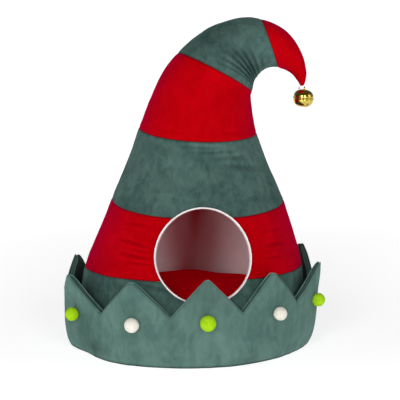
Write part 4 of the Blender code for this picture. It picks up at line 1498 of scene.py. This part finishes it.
# %% Build the floor pad
def make_sole_material():
    material, tree, shader, place = new_material("sole cloth")
    threads = [thread_node(tree, place["Object"], axis, 150.0, 0.4) for axis in "XY"]
    weave = math_node(tree, "MULTIPLY", *threads)
    colour = mix_colour(tree, weave, (0.018, 0.030, 0.027, 1), (0.05, 0.075, 0.068, 1))
    fill_inputs(tree, shader, Base_Color=colour, Roughness=0.9)
    bump(tree, shader, weave, 0.0003, 0.6)
    return material


def place_pad(share, line):
    height, reach = line
    angle = 360 * share - 180
    radius = (collar_radius(angle, height) - COLLAR_THICKNESS - GAP) * reach
    turn = math.radians(angle)
    return Vector((radius * math.sin(turn), -radius * math.cos(turn), height))


PAD_RINGS = (0.0, 0.3, 0.6, 0.85, 0.95, 0.985)
PAD_EDGE = [(0.0008, 0.996), (0.003, 1.0), (0.010, 1.0), (0.017, 1.0), (0.0192, 0.996)]
PAD_LINES = [(0.0, share) for share in PAD_RINGS] + PAD_EDGE
PAD_LINES += [(PAD_THICKNESS, share) for share in reversed(PAD_RINGS)]
pad = finish_piece("floor_pad_cloth", grid_of_cloth(240, PAD_LINES, place_pad), make_sole_material())
print(count(pad))

# %% [markdown]
# ## Floor and light
# A white sweep fills the picture. It glows a little, so that it is nearly pure white and keeps only a soft
# shadow round the foot. Two tall strip boxes stand close left and right of the camera, so that their light
# reaches the walls and the cushion through the way in. Two weaker lamps fill the sides.

# %% Floor, world and lamps
Lamp = namedtuple("Lamp", "name around height distance wide tall energy")
LAMPS = (
    Lamp("left strip box", -26.0, 1.30, 3.2, 0.9, 2.0, 46),
    Lamp("right strip box", 11.0, 1.30, 3.2, 0.9, 2.0, 33),
    Lamp("left fill", -80.0, 1.6, 3.2, 1.6, 1.6, 14),
    Lamp("right fill", 66.0, 1.6, 3.2, 1.6, 1.6, 11),
)
LAMP_AIM = Vector((0, 0, 0.25))
GLOW_NEAR, GLOW_FAR = 0.74, 1.0
ROOM_LOW, ROOM_HIGH = 0.32, 0.08


def make_floor():
    bm = bmesh.new()
    bmesh.ops.create_grid(bm, x_segments=1, y_segments=1, size=40)
    material, tree, shader, place = new_material("white sweep")
    away = add_node(tree, "ShaderNodeVectorMath", {"operation": "LENGTH"}, _0=place["Object"]).outputs["Value"]
    fill_inputs(
        tree, shader, Base_Color=(0.55, 0.55, 0.55, 1), Roughness=0.9, Specular_IOR_Level=0.0,
        Emission_Color=spread(tree, away, 0.4, 2.2, GLOW_NEAR, GLOW_FAR), Emission_Strength=1.0,
    )
    floor = finish_piece("floor", bm, material)
    return floor


def make_room():
    """A dim room: paler near the level of the floor, darker overhead."""
    world = bpy.data.worlds.new("studio")
    scene.world = world
    world.use_nodes = True
    tree = world.node_tree
    ahead = tree.nodes.new("ShaderNodeTexCoord").outputs["Generated"]
    up = add_node(tree, "ShaderNodeSeparateXYZ", None, Vector=ahead).outputs["Z"]
    strength = spread(tree, up, 0.0, 0.7, ROOM_LOW, ROOM_HIGH)
    fill_inputs(tree, tree.nodes["Background"], Color=(1, 1, 1, 1), Strength=strength)


def add_lamp(lamp):
    light = bpy.data.objects.new(lamp.name, bpy.data.lights.new(lamp.name, "AREA"))
    scene.collection.objects.link(light)
    light.data.shape = "RECTANGLE"
    light.data.size, light.data.size_y = lamp.wide, lamp.tall
    light.data.energy = lamp.energy
    turn = math.radians(lamp.around)
    light.location = (lamp.distance * math.sin(turn), -lamp.distance * math.cos(turn), lamp.height)
    light.rotation_euler = (LAMP_AIM - light.location).to_track_quat("-Z", "Y").to_euler()


make_floor()
make_room()
for lamp in LAMPS:
    add_lamp(lamp)
scene.view_settings.view_transform = "Standard"
print("lamps:", len(LAMPS))

# %% [markdown]
# ## Say what stands for what
# Every new piece takes the place of its solid and rides on the one body that the model has.

def stand_in(piece, node):
    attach(piece, "root")
    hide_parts(node)


for band in BANDS:
    stand_in(bands[band.name], band.name)
stand_in(lining, "lining")
stand_in(binding, "opening_binding")
stand_in(collar, "collar")
stand_in(cushion, "cushion")
stand_in(pad, "floor_pad")
for number, ball in enumerate(balls, 1):
    stand_in(ball, f"pompom_{number:02d}")
stand_in(bell, "bell")
stand_in(ribbon, "bell_loop")
